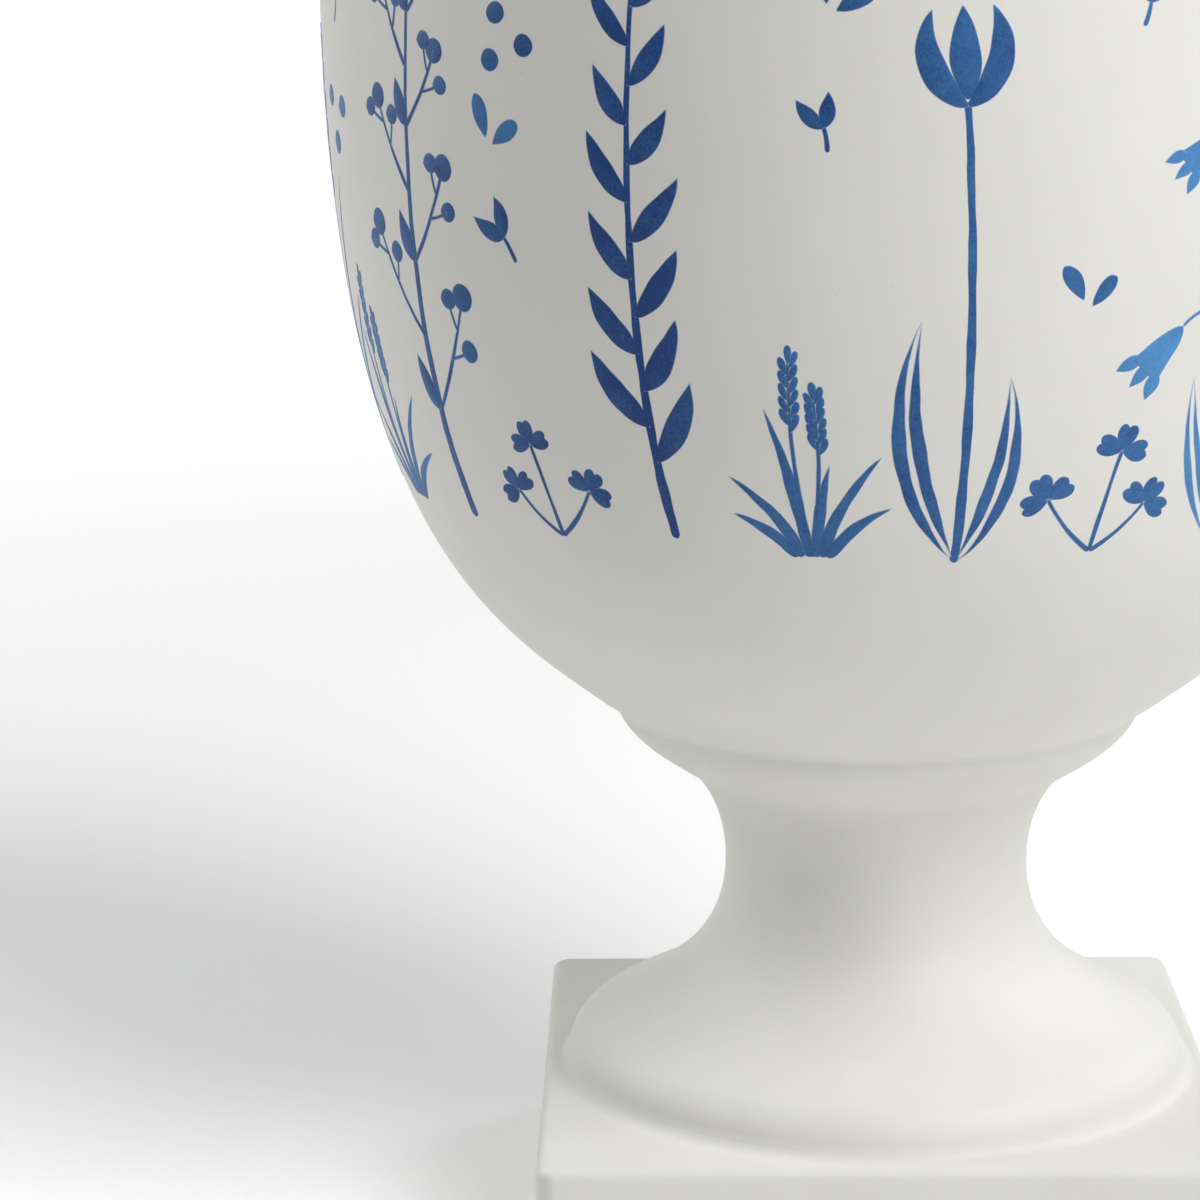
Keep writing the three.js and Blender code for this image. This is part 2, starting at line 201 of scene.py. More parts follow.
# Floor: its half width and height in millimetres, its tone for the light on the vase and as it is
# seen, and between which distances in metres it fades to plain white
FLOOR_REACH = 4000.0
FLOOR_HEIGHT = -0.05
FLOOR_TONE = (0.955, 1.337)
FLOOR_FADE = (0.38, 0.85)

# Light: the sky's strength, and each lamp's place, diameter, power and colour, in metres and watts
SKY = 0.05
WHITE = (1.0, 1.0, 1.0, 1.0)
WARM = (1.0, 0.998, 0.993)
COOL = (0.985, 0.993, 1.0)
LAMPS = (
    ("key_lamp", (0.683, -0.683, 1.03), 0.9, 13.4, WARM),
    ("side_lamp", (0.816, -0.571, 0.996), 0.4, 0.9, WARM),
    ("top_lamp", (0.0, 0.0, 1.6), 1.6, 2.5, WHITE[:3]),
    ("back_lamp", (0.769, 0.769, 0.667), 0.7, 2.3, COOL),
    ("left_lamp", (-1.125, 0.301, 0.45), 0.6, 2.3, COOL),
    ("high_left_lamp", (-0.889, 0.323, 0.899), 0.6, 3.3, COOL),
)
LAMP_AIM = Vector((0, 0, 0.16))

# Camera: its place in metres, its turns in radians, and its lens and sensor in millimetres
CAMERA_PLACE = (-0.03734, -0.6757, 0.2610)
CAMERA_PITCH = 0.2135
CAMERA_YAW = -0.0176
CAMERA_ROLL = -0.009
CAMERA_LENS = 116.7
CAMERA_SENSOR = 36


def bezier(start, pull_start, pull_end, end, steps):
    """Cubic Bezier curve: (1-t)^3 start + 3(1-t)^2 t pull_start + 3(1-t) t^2 pull_end + t^3 end."""
    t = np.linspace(0, 1, steps + 1)[:, None]
    start, pull_start, pull_end, end = (np.asarray(p, float) for p in (start, pull_start, pull_end, end))
    return (
        (1 - t) ** 3 * start
        + 3 * (1 - t) ** 2 * t * pull_start
        + 3 * (1 - t) * t**2 * pull_end
        + t**3 * end
    )


def heading(degrees):
    """The unit vector (cos a, sin a)."""
    return np.array([math.cos(math.radians(degrees)), math.sin(math.radians(degrees))])


def arc(centre, radius, start, end, steps):
    """Part of a circle: centre + radius (cos a, sin a), with a from start to end in degrees."""
    a = np.radians(np.linspace(start, end, steps + 1))
    return np.asarray(centre, float) + radius * np.stack([np.cos(a), np.sin(a)], 1)


def leftward(curve):
    """At each point, the unit vector (-dy, dx) to the left of the curve's own direction (dx, dy)."""
    along = np.gradient(curve, axis=0)
    along /= np.maximum(np.linalg.norm(along, axis=1), 1e-9)[:, None]
    return np.stack([-along[:, 1], along[:, 0]], 1)


def moved_in(curve, wall):
    """The inner face of a wall: each point moved leftward by the wall's thickness there."""
    return curve + np.reshape(wall, (-1, 1)) * leftward(curve)


def reaches(curve):
    """The distance of each point from the curve's start, along the curve."""
    return np.concatenate([[0], np.cumsum(np.linalg.norm(np.diff(curve, axis=0), axis=1))])


def eased(corners, sizes, closed=True, steps=5):
    """A profile with rounded corners. A corner is cut back by its size along both sides, to a and b,
    and bridged by (1-t)^2 a + 2(1-t) t corner + t^2 b."""
    corners = np.asarray(corners, float)
    sizes = np.broadcast_to(np.asarray(sizes, float), len(corners)).copy()
    if not closed:
        sizes[[0, -1]] = 0
    to_last = np.roll(corners, 1, 0) - corners
    to_next = np.roll(corners, -1, 0) - corners
    a = corners + to_last / np.linalg.norm(to_last, axis=1)[:, None] * sizes[:, None]
    b = corners + to_next / np.linalg.norm(to_next, axis=1)[:, None] * sizes[:, None]
    t = np.linspace(0, 1, steps + 1)[None, :, None]
    rounded = (1 - t) ** 2 * a[:, None] + 2 * (1 - t) * t * corners[:, None] + t**2 * b[:, None]
    return rounded.reshape(-1, 2)


def supported(profile, closed=True):
    """Adds a row near each end of a long straight, as far in as its neighbouring step is long, so that
    smooth shading stays at the corner."""
    gap = np.linalg.norm(np.diff(profile, axis=0), axis=1)
    points = profile[np.concatenate([[True], gap > 1e-6])]
    if closed and np.linalg.norm(points[0] - points[-1]) < 1e-6:
        points = points[:-1]
    count = len(points) if closed else len(points) - 1
    length = np.linalg.norm(np.roll(points, -1, 0) - points, axis=1)
    rows = []
    for i in range(count):
        here, there = points[i], points[(i + 1) % len(points)]
        before = length[i - 1] if closed or i > 0 else length[i]
        after = length[(i + 1) % len(points)] if closed or i < count - 1 else length[i]
        rows.append(here)
        if length[i] > 3 * before:
            rows.append(here + (there - here) * before / length[i])
        if length[i] > 3 * after:
            rows.append(there - (there - here) * after / length[i])
    if not closed:
        rows.append(points[-1])
    return np.array(rows)


def angles(sides):
    """Even angles round the axis, in radians."""
    return np.linspace(0, 2 * np.pi, sides, endpoint=False)


def ring(a, radius, height):
    """Points (radius cos a, radius sin a, height). Each of the three may be an array."""
    return np.stack(np.broadcast_arrays(radius * np.cos(a), radius * np.sin(a), height), -1)


def turned(profile, sides):
    """A profile of radius and height carried round the axis, with a row for each of its points."""
    return ring(angles(sides), profile[:, :1], profile[:, 1:])


def skin(name, grids, materials, closed=True, around=True, smooth_to=38, attributes=None, bands=None):
    """One mesh from grids of points in millimetres: a quad between every four neighbours. Rows close
    up where closed, and columns where around. A band gives each row of quads its material's number."""
    vertices, quads, marks = [], [], []
    offset = 0
    for grid in grids:
        rows, columns = grid.shape[:2]
        index = offset + np.arange(rows * columns).reshape(rows, columns)
        if closed:
            index = np.vstack([index, index[:1]])
        if around:
            index = np.hstack([index, index[:, :1]])
        corners = [index[:-1, :-1], index[:-1, 1:], index[1:, 1:], index[1:, :-1]]
        quads.append(np.stack(corners, -1).reshape(-1, 4))
        vertices.append(grid.reshape(-1, 3) * MM)
        if bands is not None:
            marks.append(np.repeat(bands[: index.shape[0] - 1], index.shape[1] - 1))
        offset += rows * columns
    mesh = bpy.data.meshes.new(name)
    mesh.from_pydata(np.concatenate(vertices).tolist(), [], np.concatenate(quads).tolist())
    for key, values in (attributes or {}).items():
        layer = mesh.attributes.new(key, "FLOAT", "POINT")
        layer.data.foreach_set("value", np.concatenate([v.ravel() for v in values]).astype(np.float32))
    if marks:
        mesh.polygons.foreach_set("material_index", np.concatenate(marks).astype(np.int32))
    for made in materials:
        mesh.materials.append(made)
    work = bmesh.new()
    work.from_mesh(mesh)
    bmesh.ops.remove_doubles(work, verts=work.verts, dist=2e-7)
    loose = [v for v in work.verts if not v.link_faces]
    bmesh.ops.delete(work, geom=loose, context="VERTS")
    bmesh.ops.recalc_face_normals(work, faces=work.faces)
    work.to_mesh(mesh)
    work.free()
    mesh.polygons.foreach_set("use_smooth", np.ones(len(mesh.polygons), bool))
    mesh.set_sharp_from_angle(angle=math.radians(smooth_to))
    piece = bpy.data.objects.new(name, mesh)
    bpy.context.scene.collection.objects.link(piece)
    return piece


def stand_for(piece, slot, *nodes):
    """The piece takes the place of these nodes and rides on the body; its slot is not used."""
    if nodes:
        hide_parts(*nodes)
    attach(piece, "root")


def linear(code):
    """An sRGB hex colour as linear light: ((channel + 0.055) / 1.055)^2.4, or channel / 12.92 where
    the channel is below 0.04."""
    channel = np.array([int(code[i : i + 2], 16) for i in (1, 3, 5)]) / 255
    light = np.where(channel > 0.04045, ((channel + 0.055) / 1.055) ** 2.4, channel / 12.92)
    return (*light.tolist(), 1.0)


def grain(size):
    """A noise texture's scale for grains of that size in millimetres."""
    return 1 / (size * MM)


def add(tree, kind, inputs, out=0, **settings):
    """Adds one node and gives one of its outputs. An input is a value, or another node's output, and
    the settings are the node's properties."""
    node = tree.nodes.new("ShaderNode" + kind)
    for key, value in settings.items():
        setattr(node, key, value)
    for key, value in inputs.items():
        if isinstance(value, bpy.types.NodeSocket):
            tree.links.new(value, node.inputs[key])
        else:
            node.inputs[key].default_value = value
    return node.outputs[out] if len(node.outputs) else None


def blank(name):
    """An empty material, its tree, and the Object coordinates in it."""
    made = bpy.data.materials.new(name)
    made.use_nodes = True
    tree = made.node_tree
    tree.nodes.clear()
    return made, tree, add(tree, "TexCoord", {}, "Object")


def finished(made, tree, shader):
    """The material, with its shader on the output."""
    add(tree, "OutputMaterial", {"Surface": shader})
    return made


def bisque_porcelain(name, ring_height):
    """Unglazed hard porcelain, slip cast and polished: dense, silky white, a broad soft highlight.
    The eye gets faint clouds of colour, a few pale mineral specks and, where it was turned, faint rings."""
    made, tree, place = blank(name)
    clouds = add(tree, "TexNoise", {"Vector": place, "Scale": grain(22), "Detail": 4, "Roughness": 0.55})
    body = add(tree, "Mix", {0: clouds, 6: linear("#E4E3DD"), 7: linear("#EEEDE9")}, 2, data_type="RGBA")
    # Specks about 0.4 mm across, one in each 9 mm of clay, so that few of them lie right at the surface.
    away = add(tree, "TexVoronoi", {"Vector": place, "Scale": grain(9)}, "Distance")
    speck = add(
        tree, "MapRange", {"Value": away, "From Min": 0.018, "From Max": 0.03, "To Min": 0.34, "To Max": 0}
    )
    body = add(tree, "Mix", {0: speck, 6: body, 7: linear("#CDC8BB")}, 2, data_type="RGBA")
    silk = add(
        tree, "MapRange", {"Value": clouds, "From Min": 0.3, "From Max": 0.7, "To Min": 0.52, "To Max": 0.6}
    )
    # Turning rings about 2 mm apart, and a tooth of 0.3 mm, coarser than real clay so that it shows.
    level = add(tree, "Mapping", {"Vector": place, "Scale": (0.02, 0.02, 1)})
    rings = add(tree, "TexNoise", {"Vector": level, "Scale": grain(4), "Detail": 3, "Roughness": 0.6})
    tooth = add(tree, "TexNoise", {"Vector": place, "Scale": grain(0.3)})
    fine = add(tree, "Bump", {"Height": tooth, "Distance": 0.008 * MM})
    bump = add(tree, "Bump", {"Height": rings, "Distance": ring_height * MM, "Normal": fine})
    shader = add(
        tree, "BsdfPrincipled", {"Base Color": body, "Roughness": silk, "IOR": 1.5, "Normal": bump}
    )
    return finished(made, tree, shader)


def clear_glaze():
    """Clear feldspar glaze over white porcelain: wet looking, with sharp highlights and a slow
    orange-peel swell."""
    made, tree, place = blank("clear_glaze")
    clouds = add(tree, "TexNoise", {"Vector": place, "Scale": grain(18), "Detail": 3})
    body = add(tree, "Mix", {0: clouds, 6: linear("#E6E8E6"), 7: linear("#EEEFEC")}, 2, data_type="RGBA")
    swell = add(tree, "TexNoise", {"Vector": place, "Scale": grain(5), "Detail": 1})
    bump = add(tree, "Bump", {"Height": swell, "Distance": 0.06 * MM})
    shader = add(
        tree, "BsdfPrincipled", {"Base Color": body, "Roughness": 0.07, "IOR": 1.52, "Normal": bump}
    )
    return finished(made, tree, shader)


def cobalt_enamel():
    """Cobalt enamel, screen printed in one colour and fired: a grainy matt blue whose depth follows the
    ink's thickness, with a soft pale rim where the ink runs thin. On the plants that face the key lamp
    the pale tone is partly painted light."""
    made, tree, place = blank("cobalt_enamel")
    tone = add(tree, "Attribute", {}, "Fac", attribute_name="tone")
    rim = add(tree, "Attribute", {}, "Fac", attribute_name="edge")
    cloud = add(tree, "TexNoise", {"Vector": place, "Scale": grain(6), "Detail": 3})
    # Pigment grains are a few hundredths of a millimetre, drawn here at 0.45 mm so that they show.
    dots = add(tree, "TexNoise", {"Vector": place, "Scale": grain(0.45)})
    uneven = add(tree, "Math", {0: cloud, 1: 0.5, 2: -0.25}, operation="MULTIPLY_ADD")
    grainy = add(tree, "Math", {0: dots, 1: 0.44, 2: -0.22}, operation="MULTIPLY_ADD")
    depth = add(tree, "Math", {0: tone, 1: uneven}, operation="ADD")
    depth = add(tree, "Math", {0: depth, 1: grainy}, operation="ADD", use_clamp=True)
    ink = add(tree, "Mix", {0: depth, 6: linear("#183F7D"), 7: linear("#5899D4")}, 2, data_type="RGBA")
    # The edge attribute is the distance from the rim in millimetres.
    reach = add(tree, "MapRange", {"Value": rim, "From Min": 0.02, "From Max": 0.24})
    colour = add(tree, "Mix", {0: reach, 6: linear("#C9D4E0"), 7: ink}, 2, data_type="RGBA")
    bump = add(tree, "Bump", {"Height": dots, "Distance": 0.01 * MM})
    finish = {"Roughness": 0.46, "IOR": 1.5, "Specular IOR Level": 0.25}
    shader = add(tree, "BsdfPrincipled", {"Base Color": colour, "Normal": bump, **finish})
    return finished(made, tree, shader)


def turned_steel():
    """Stainless steel, turned on a lathe: a grey mirror broken into rings by the tool's feed."""
    made, tree, place = blank("turned_steel")
    flat = add(tree, "VectorMath", {0: place, 1: (1, 1, 0)}, operation="MULTIPLY")
    out = add(tree, "VectorMath", {0: flat}, "Value", operation="LENGTH")
    up = add(tree, "SeparateXYZ", {0: place}, "Z")
    line = add(tree, "CombineXYZ", {"X": out, "Y": up})
    # Feed marks are about 0.1 mm apart, drawn here at 0.3 mm so that they show.
    feed = add(tree, "TexNoise", {"Vector": line, "Scale": grain(0.3)})
    stain = add(tree, "TexNoise", {"Vector": place, "Scale": grain(5), "Detail": 3})
    metal = add(tree, "Mix", {0: stain, 6: linear("#B4B5B6"), 7: linear("#C9CACA")}, 2, data_type="RGBA")
    rough = add(tree, "MapRange", {"Value": feed, "To Min": 0.2, "To Max": 0.38})
    bump = add(tree, "Bump", {"Height": feed, "Distance": 0.012 * MM})
    shader = add(
        tree, "BsdfPrincipled", {"Base Color": metal, "Metallic": 1, "Roughness": rough, "Normal": bump}
    )
    return finished(made, tree, shader)


def moulded_rubber():
    """Black moulded rubber: matt, slightly dusty, with a fine tooth from the mould."""
    made, tree, place = blank("moulded_rubber")
    dust = add(tree, "TexNoise", {"Vector": place, "Scale": grain(4), "Detail": 5})
    colour = add(tree, "Mix", {0: dust, 6: linear("#1E1E1F"), 7: linear("#333334")}, 2, data_type="RGBA")
    tooth = add(tree, "TexNoise", {"Vector": place, "Scale": grain(0.4)})
    bump = add(tree, "Bump", {"Height": tooth, "Distance": 0.03 * MM})
    shader = add(
        tree, "BsdfPrincipled", {"Base Color": colour, "Roughness": 0.72, "IOR": 1.52, "Normal": bump}
    )
    return finished(made, tree, shader)


def pressed_cork():
    """Cork granules pressed with a binder: tan crumbs of 1.5 mm, each its own shade, with dark bark
    between them and small pits."""
    made, tree, place = blank("pressed_cork")
    away = add(tree, "TexVoronoi", {"Vector": place, "Scale": grain(1.5)}, "Distance")
    shade = add(tree, "SeparateColor", {0: away.node.outputs["Color"]})
    tan = add(tree, "Mix", {0: shade, 6: linear("#A67C4C"), 7: linear("#CBA271")}, 2, data_type="RGBA")
    bark = add(tree, "MapRange", {"Value": away, "From Min": 0.45, "From Max": 0.75, "To Max": 0.7})
    colour = add(tree, "Mix", {0: bark, 6: tan, 7: linear("#5F4127")}, 2, data_type="RGBA")
    bump = add(tree, "Bump", {"Height": away, "Distance": 0.1 * MM}, invert=True)
    shader = add(
        tree, "BsdfPrincipled", {"Base Color": colour, "Roughness": 0.88, "IOR": 1.45, "Normal": bump}
    )
    return finished(made, tree, shader)


def wool_felt():
    """Pressed wool felt: tangled pale fibres 0.3 mm apart, no shine, a faint halo of sheen."""
    made, tree, place = blank("wool_felt")
    swirl = add(tree, "TexNoise", {"Vector": place, "Scale": grain(1.2)}, "Color")
    # Whorls of about 1.2 mm shift the fibres by up to 3 mm.
    bent = add(tree, "VectorMath", {0: swirl, 1: (3 * MM,) * 3, 2: place}, operation="MULTIPLY_ADD")
    fibres = add(tree, "TexNoise", {"Vector": bent, "Scale": grain(0.3), "Detail": 4, "Roughness": 0.7})
    colour = add(tree, "Mix", {0: fibres, 6: linear("#BDB9AD"), 7: linear("#E6E2D7")}, 2, data_type="RGBA")
    bump = add(tree, "Bump", {"Height": fibres, "Distance": 0.15 * MM})
    finish = {"Roughness": 0.95, "IOR": 1.45, "Sheen Weight": 0.3, "Sheen Roughness": 0.5}
    shader = add(tree, "BsdfPrincipled", {"Base Color": colour, "Normal": bump, **finish})
    return finished(made, tree, shader)


turned_bisque = bisque_porcelain("turned_bisque", 0.035)
cast_bisque = bisque_porcelain("cast_bisque", 0.004)
glaze = clear_glaze()
cobalt = cobalt_enamel()
steel = turned_steel()
rubber = moulded_rubber()
cork = pressed_cork()
felt = wool_felt()


def bowl_curves():
    """The bowl's outer wall, drawn upwards: a deep curve from the joint to the shoulder, then a
    near-upright one to the lip."""
    base = np.array([COLLAR_RADIUS, BOWL_CURVE_START])
    lower = bezier(
        base, base + BOWL_BASE_PULL * heading(BOWL_BASE_ANGLE),
        (BOWL_RADIUS, SHOULDER_HEIGHT - BOWL_SIDE_PULL), (BOWL_RADIUS, SHOULDER_HEIGHT), 110,
    )
    upper = bezier(
        (BOWL_RADIUS, SHOULDER_HEIGHT), (BOWL_RADIUS, SHOULDER_HEIGHT + WALL_PULL),
        (RIM_RADIUS - RIM_FLARE / 3, LIP_CENTRE - RIM_PULL), (RIM_RADIUS, LIP_CENTRE), 36,
    )
    return lower, upper


def pedestal_curves():
    """The pedestal's outer face over its rolled foot, drawn upwards: flare, throat and collar."""
    start = np.array([FLARE_RADIUS, FLARE_HEIGHT])
    neck = np.array([NECK_RADIUS, NECK_HEIGHT])
    knee = np.array([KNEE_RADIUS, KNEE_HEIGHT])
    edge = np.array([COLLAR_RADIUS, COLLAR_TOP])
    flare = bezier(
        start, start + FLARE_FOOT_PULL * heading(180 - FLARE_ANGLE),
        neck - (0, FLARE_NECK_PULL), neck, 56,
    )
    throat = bezier(
        neck, neck + (0, THROAT_NECK_PULL), knee - THROAT_KNEE_PULL * heading(KNEE_ANGLE), knee, 32
    )
    collar = bezier(
        knee, knee + COLLAR_KNEE_PULL * heading(KNEE_ANGLE),
        edge - COLLAR_EDGE_PULL * heading(COLLAR_EDGE_ANGLE), edge, 24,
    )
    return flare, throat, collar


def foot_curve(low, high, steps, power=1):
    """The foot from one height to another, drawn upwards: a hollow fillet on the plinth's top, whose two
    arms differ, a steep rise, and a round corner to the flare's own slope. The share of the height at
    each point is an even share to that power."""
    toe = np.array([TOE_RADIUS, PLINTH_TOP])
    corner = np.array([FOOT_RADIUS, PLINTH_TOP])
    roll = np.array([ROLL_RADIUS, ROLL_HEIGHT])
    top = corner + FOOT_FILLET * (roll - corner) / np.linalg.norm(roll - corner)
    fillet = bezier(toe, toe + (corner - toe) * 2 / 3, top + (corner - top) * 2 / 3, top, 40)
    rise = eased([top, roll, (FLARE_RADIUS, FLARE_HEIGHT)], [0, ROLL_EASE, 0], closed=False, steps=20)
    whole = np.vstack([fillet[:-1], rise])
    height = low + (high - low) * np.linspace(0, 1, steps + 1) ** power
    return np.stack([np.interp(height, whole[:, 1], whole[:, 0]), height], 1)


def trimmed(curve, length):
    """The curve without its first stretch of that length."""
    reach = reaches(curve)
    start = [np.interp(length, reach, curve[:, i]) for i in (0, 1)]
    return np.vstack([start, curve[reach > length + 0.05]])


def soft_joint():
    """The bowl's wall from the joint up. The collar's slope runs on over the joint to a soft crease,
    from which a straight leads to the wall's own curve."""
    collar = pedestal_curves()[2]
    wall = trimmed(bowl_curves()[0], JOINT_ABOVE)
    slope = collar[-1] - collar[-2]
    crease = collar[-1] + JOINT_RISE * slope / np.linalg.norm(slope)
    fill = eased([collar[-1], crease, wall[0]], [0, JOINT_EASE, 0], closed=False, steps=10)
    # Each of the three corners has 11 points, and those in the middle are the crease.
    return np.vstack([fill[11:22], wall])


def make_bowl():
    """Turned profile: spigot, joint face, outer wall, half-round lip, inner wall at the wall's
    thickness, and a floor that a Bezier curve blends into the wall. The inside is glazed."""
    lower, upper = bowl_curves()
    middle_wall = (BOWL_WALL + RIM_WALL) / 2
    inside = moved_in(lower, np.linspace(BOWL_WALL, middle_wall, len(lower)))
    start = round(INNER_WALL_START * (len(lower) - 1))
    inner_lower = inside[start:]
    inner_upper = moved_in(upper, np.linspace(middle_wall, RIM_WALL, len(upper)))[1:-1]
    foot = inner_lower[0]
    slope = lower[start + 1] - lower[start - 1]
    slope /= np.linalg.norm(slope)
    pull = (foot[0] - BOWL_FLOOR_RADIUS) / 3
    floor = bezier(
        (BOWL_FLOOR_RADIUS, BOWL_FLOOR), (BOWL_FLOOR_RADIUS + pull, BOWL_FLOOR),
        foot - slope * pull, foot, 16,
    )
    wall = soft_joint()
    below = eased(
        [
            (BOLT_HOLE, SPIGOT_BOTTOM), (SPIGOT_RADIUS, SPIGOT_BOTTOM), (SPIGOT_RADIUS, BOWL_BASE),
            (COLLAR_RADIUS, BOWL_BASE), wall[0],
        ],
        [0, 0.8, 0.3, 0.01, 0], closed=False,
    )
    outer = np.vstack([below, wall[1:], upper[1:-1]])
    lip = arc((RIM_RADIUS - LIP_RADIUS, LIP_CENTRE), LIP_RADIUS, 0, 180, 24)
    inner = np.vstack([inner_upper[::-1], inner_lower[::-1], floor[:-1][::-1]])
    hole = eased(
        [floor[0], (BOLT_HOLE, BOWL_FLOOR), (BOLT_HOLE, SPIGOT_BOTTOM + 1)], [0, 0.4, 0], closed=False
    )
    profile = supported(np.vstack([outer, lip, inner, hole]))
    # The glaze starts six rows inside the lip's top and ends 1 mm down the bolt's hole.
    past_lip = np.arange(len(profile)) > np.argmax(profile[:, 1]) + 6
    in_hole = (profile[:, 0] < BOLT_HOLE + 0.05) & (profile[:, 1] < BOWL_FLOOR - 1)
    glazed = past_lip & ~in_hole
    bowl = skin("porcelain_bowl", [turned(profile, BOWL_SIDES)], [turned_bisque, glaze], bands=glazed)
    stand_for(bowl, "porcelain", "bowl")


def make_pedestal():
    """Turned profile: fillet, rolled foot, flare, throat and collar outside, then the round recess
    for the spigot, the bolt's hole and the hollow stem at the wall's thickness."""
    flare, throat, collar = pedestal_curves()
    edge = np.array([COLLAR_RADIUS, COLLAR_TOP - COLLAR_EDGE])
    foot = foot_curve(PEDESTAL_BOTTOM + FOOT_EDGE, FLARE_HEIGHT, 26)
    hollow = moved_in(flare, PEDESTAL_WALL)
    hollow = hollow[hollow[:, 1] > PEDESTAL_BOTTOM + HOLLOW_STRAIGHT]
    slope = (hollow[0, 0] - hollow[1, 0]) / (hollow[0, 1] - hollow[1, 1])
    foot_inner = np.array([hollow[0, 0] + slope * (PEDESTAL_BOTTOM - hollow[0, 1]), PEDESTAL_BOTTOM])
    recess = eased(
        [
            edge + (-COLLAR_EDGE, COLLAR_EDGE), (COLLAR_RECESS_RADIUS, COLLAR_TOP),
            (COLLAR_RECESS_RADIUS, COLLAR_RECESS_FLOOR), (BOLT_HOLE, COLLAR_RECESS_FLOOR),
            (BOLT_HOLE, STEM_CEILING), (STEM_CEILING_RADIUS - STEM_CEILING_ROUND, STEM_CEILING),
        ],
        [0, 0.3, 0.3, 0.3, 0.3, 0], closed=False,
    )
    ceiling = arc(
        (STEM_CEILING_RADIUS - STEM_CEILING_ROUND, STEM_CEILING - STEM_CEILING_ROUND),
        STEM_CEILING_ROUND, 90, 0, 10,
    )
    top_edge = arc(edge - (COLLAR_EDGE, 0), COLLAR_EDGE, 0, 90, 6)
    outside = [foot, flare[1:], throat[1:], collar[1:-1], top_edge]
    inside = [recess[1:], ceiling[1:], hollow[::-1]]
    profile = np.vstack([foot_inner, (foot[0, 0] - FOOT_EDGE, PEDESTAL_BOTTOM), *outside, *inside])
    rows = turned(supported(profile), PEDESTAL_SIDES)
    pedestal = skin("porcelain_pedestal", [rows], [turned_bisque])
    stand_for(pedestal, "porcelain", "pedestal")


def square_rays(flat_steps, corner_steps):
    """Columns round a square plan. Along a side the anchor slides from corner to corner of a unit
    square and the normal stands still. At a corner the anchor stands still and the normal turns."""
    slide = np.concatenate([[-1, -0.985], np.linspace(-0.95, 0.95, flat_steps), [0.985]])
    turn = np.radians(np.linspace(0, 90, corner_steps + 1))[:-1]
    anchor = np.vstack([np.stack([np.ones_like(slide), slide], 1), np.ones((corner_steps, 2))])
    normal = np.vstack([np.tile([1.0, 0.0], (len(slide), 1)), np.stack([np.cos(turn), np.sin(turn)], 1)])
    quarter = [
        np.array([[math.cos(a), math.sin(a)], [-math.sin(a), math.cos(a)]])
        for a in np.radians([0, 90, 180, 270])
    ]
    return np.vstack([anchor @ q for q in quarter]), np.vstack([normal @ q for q in quarter])


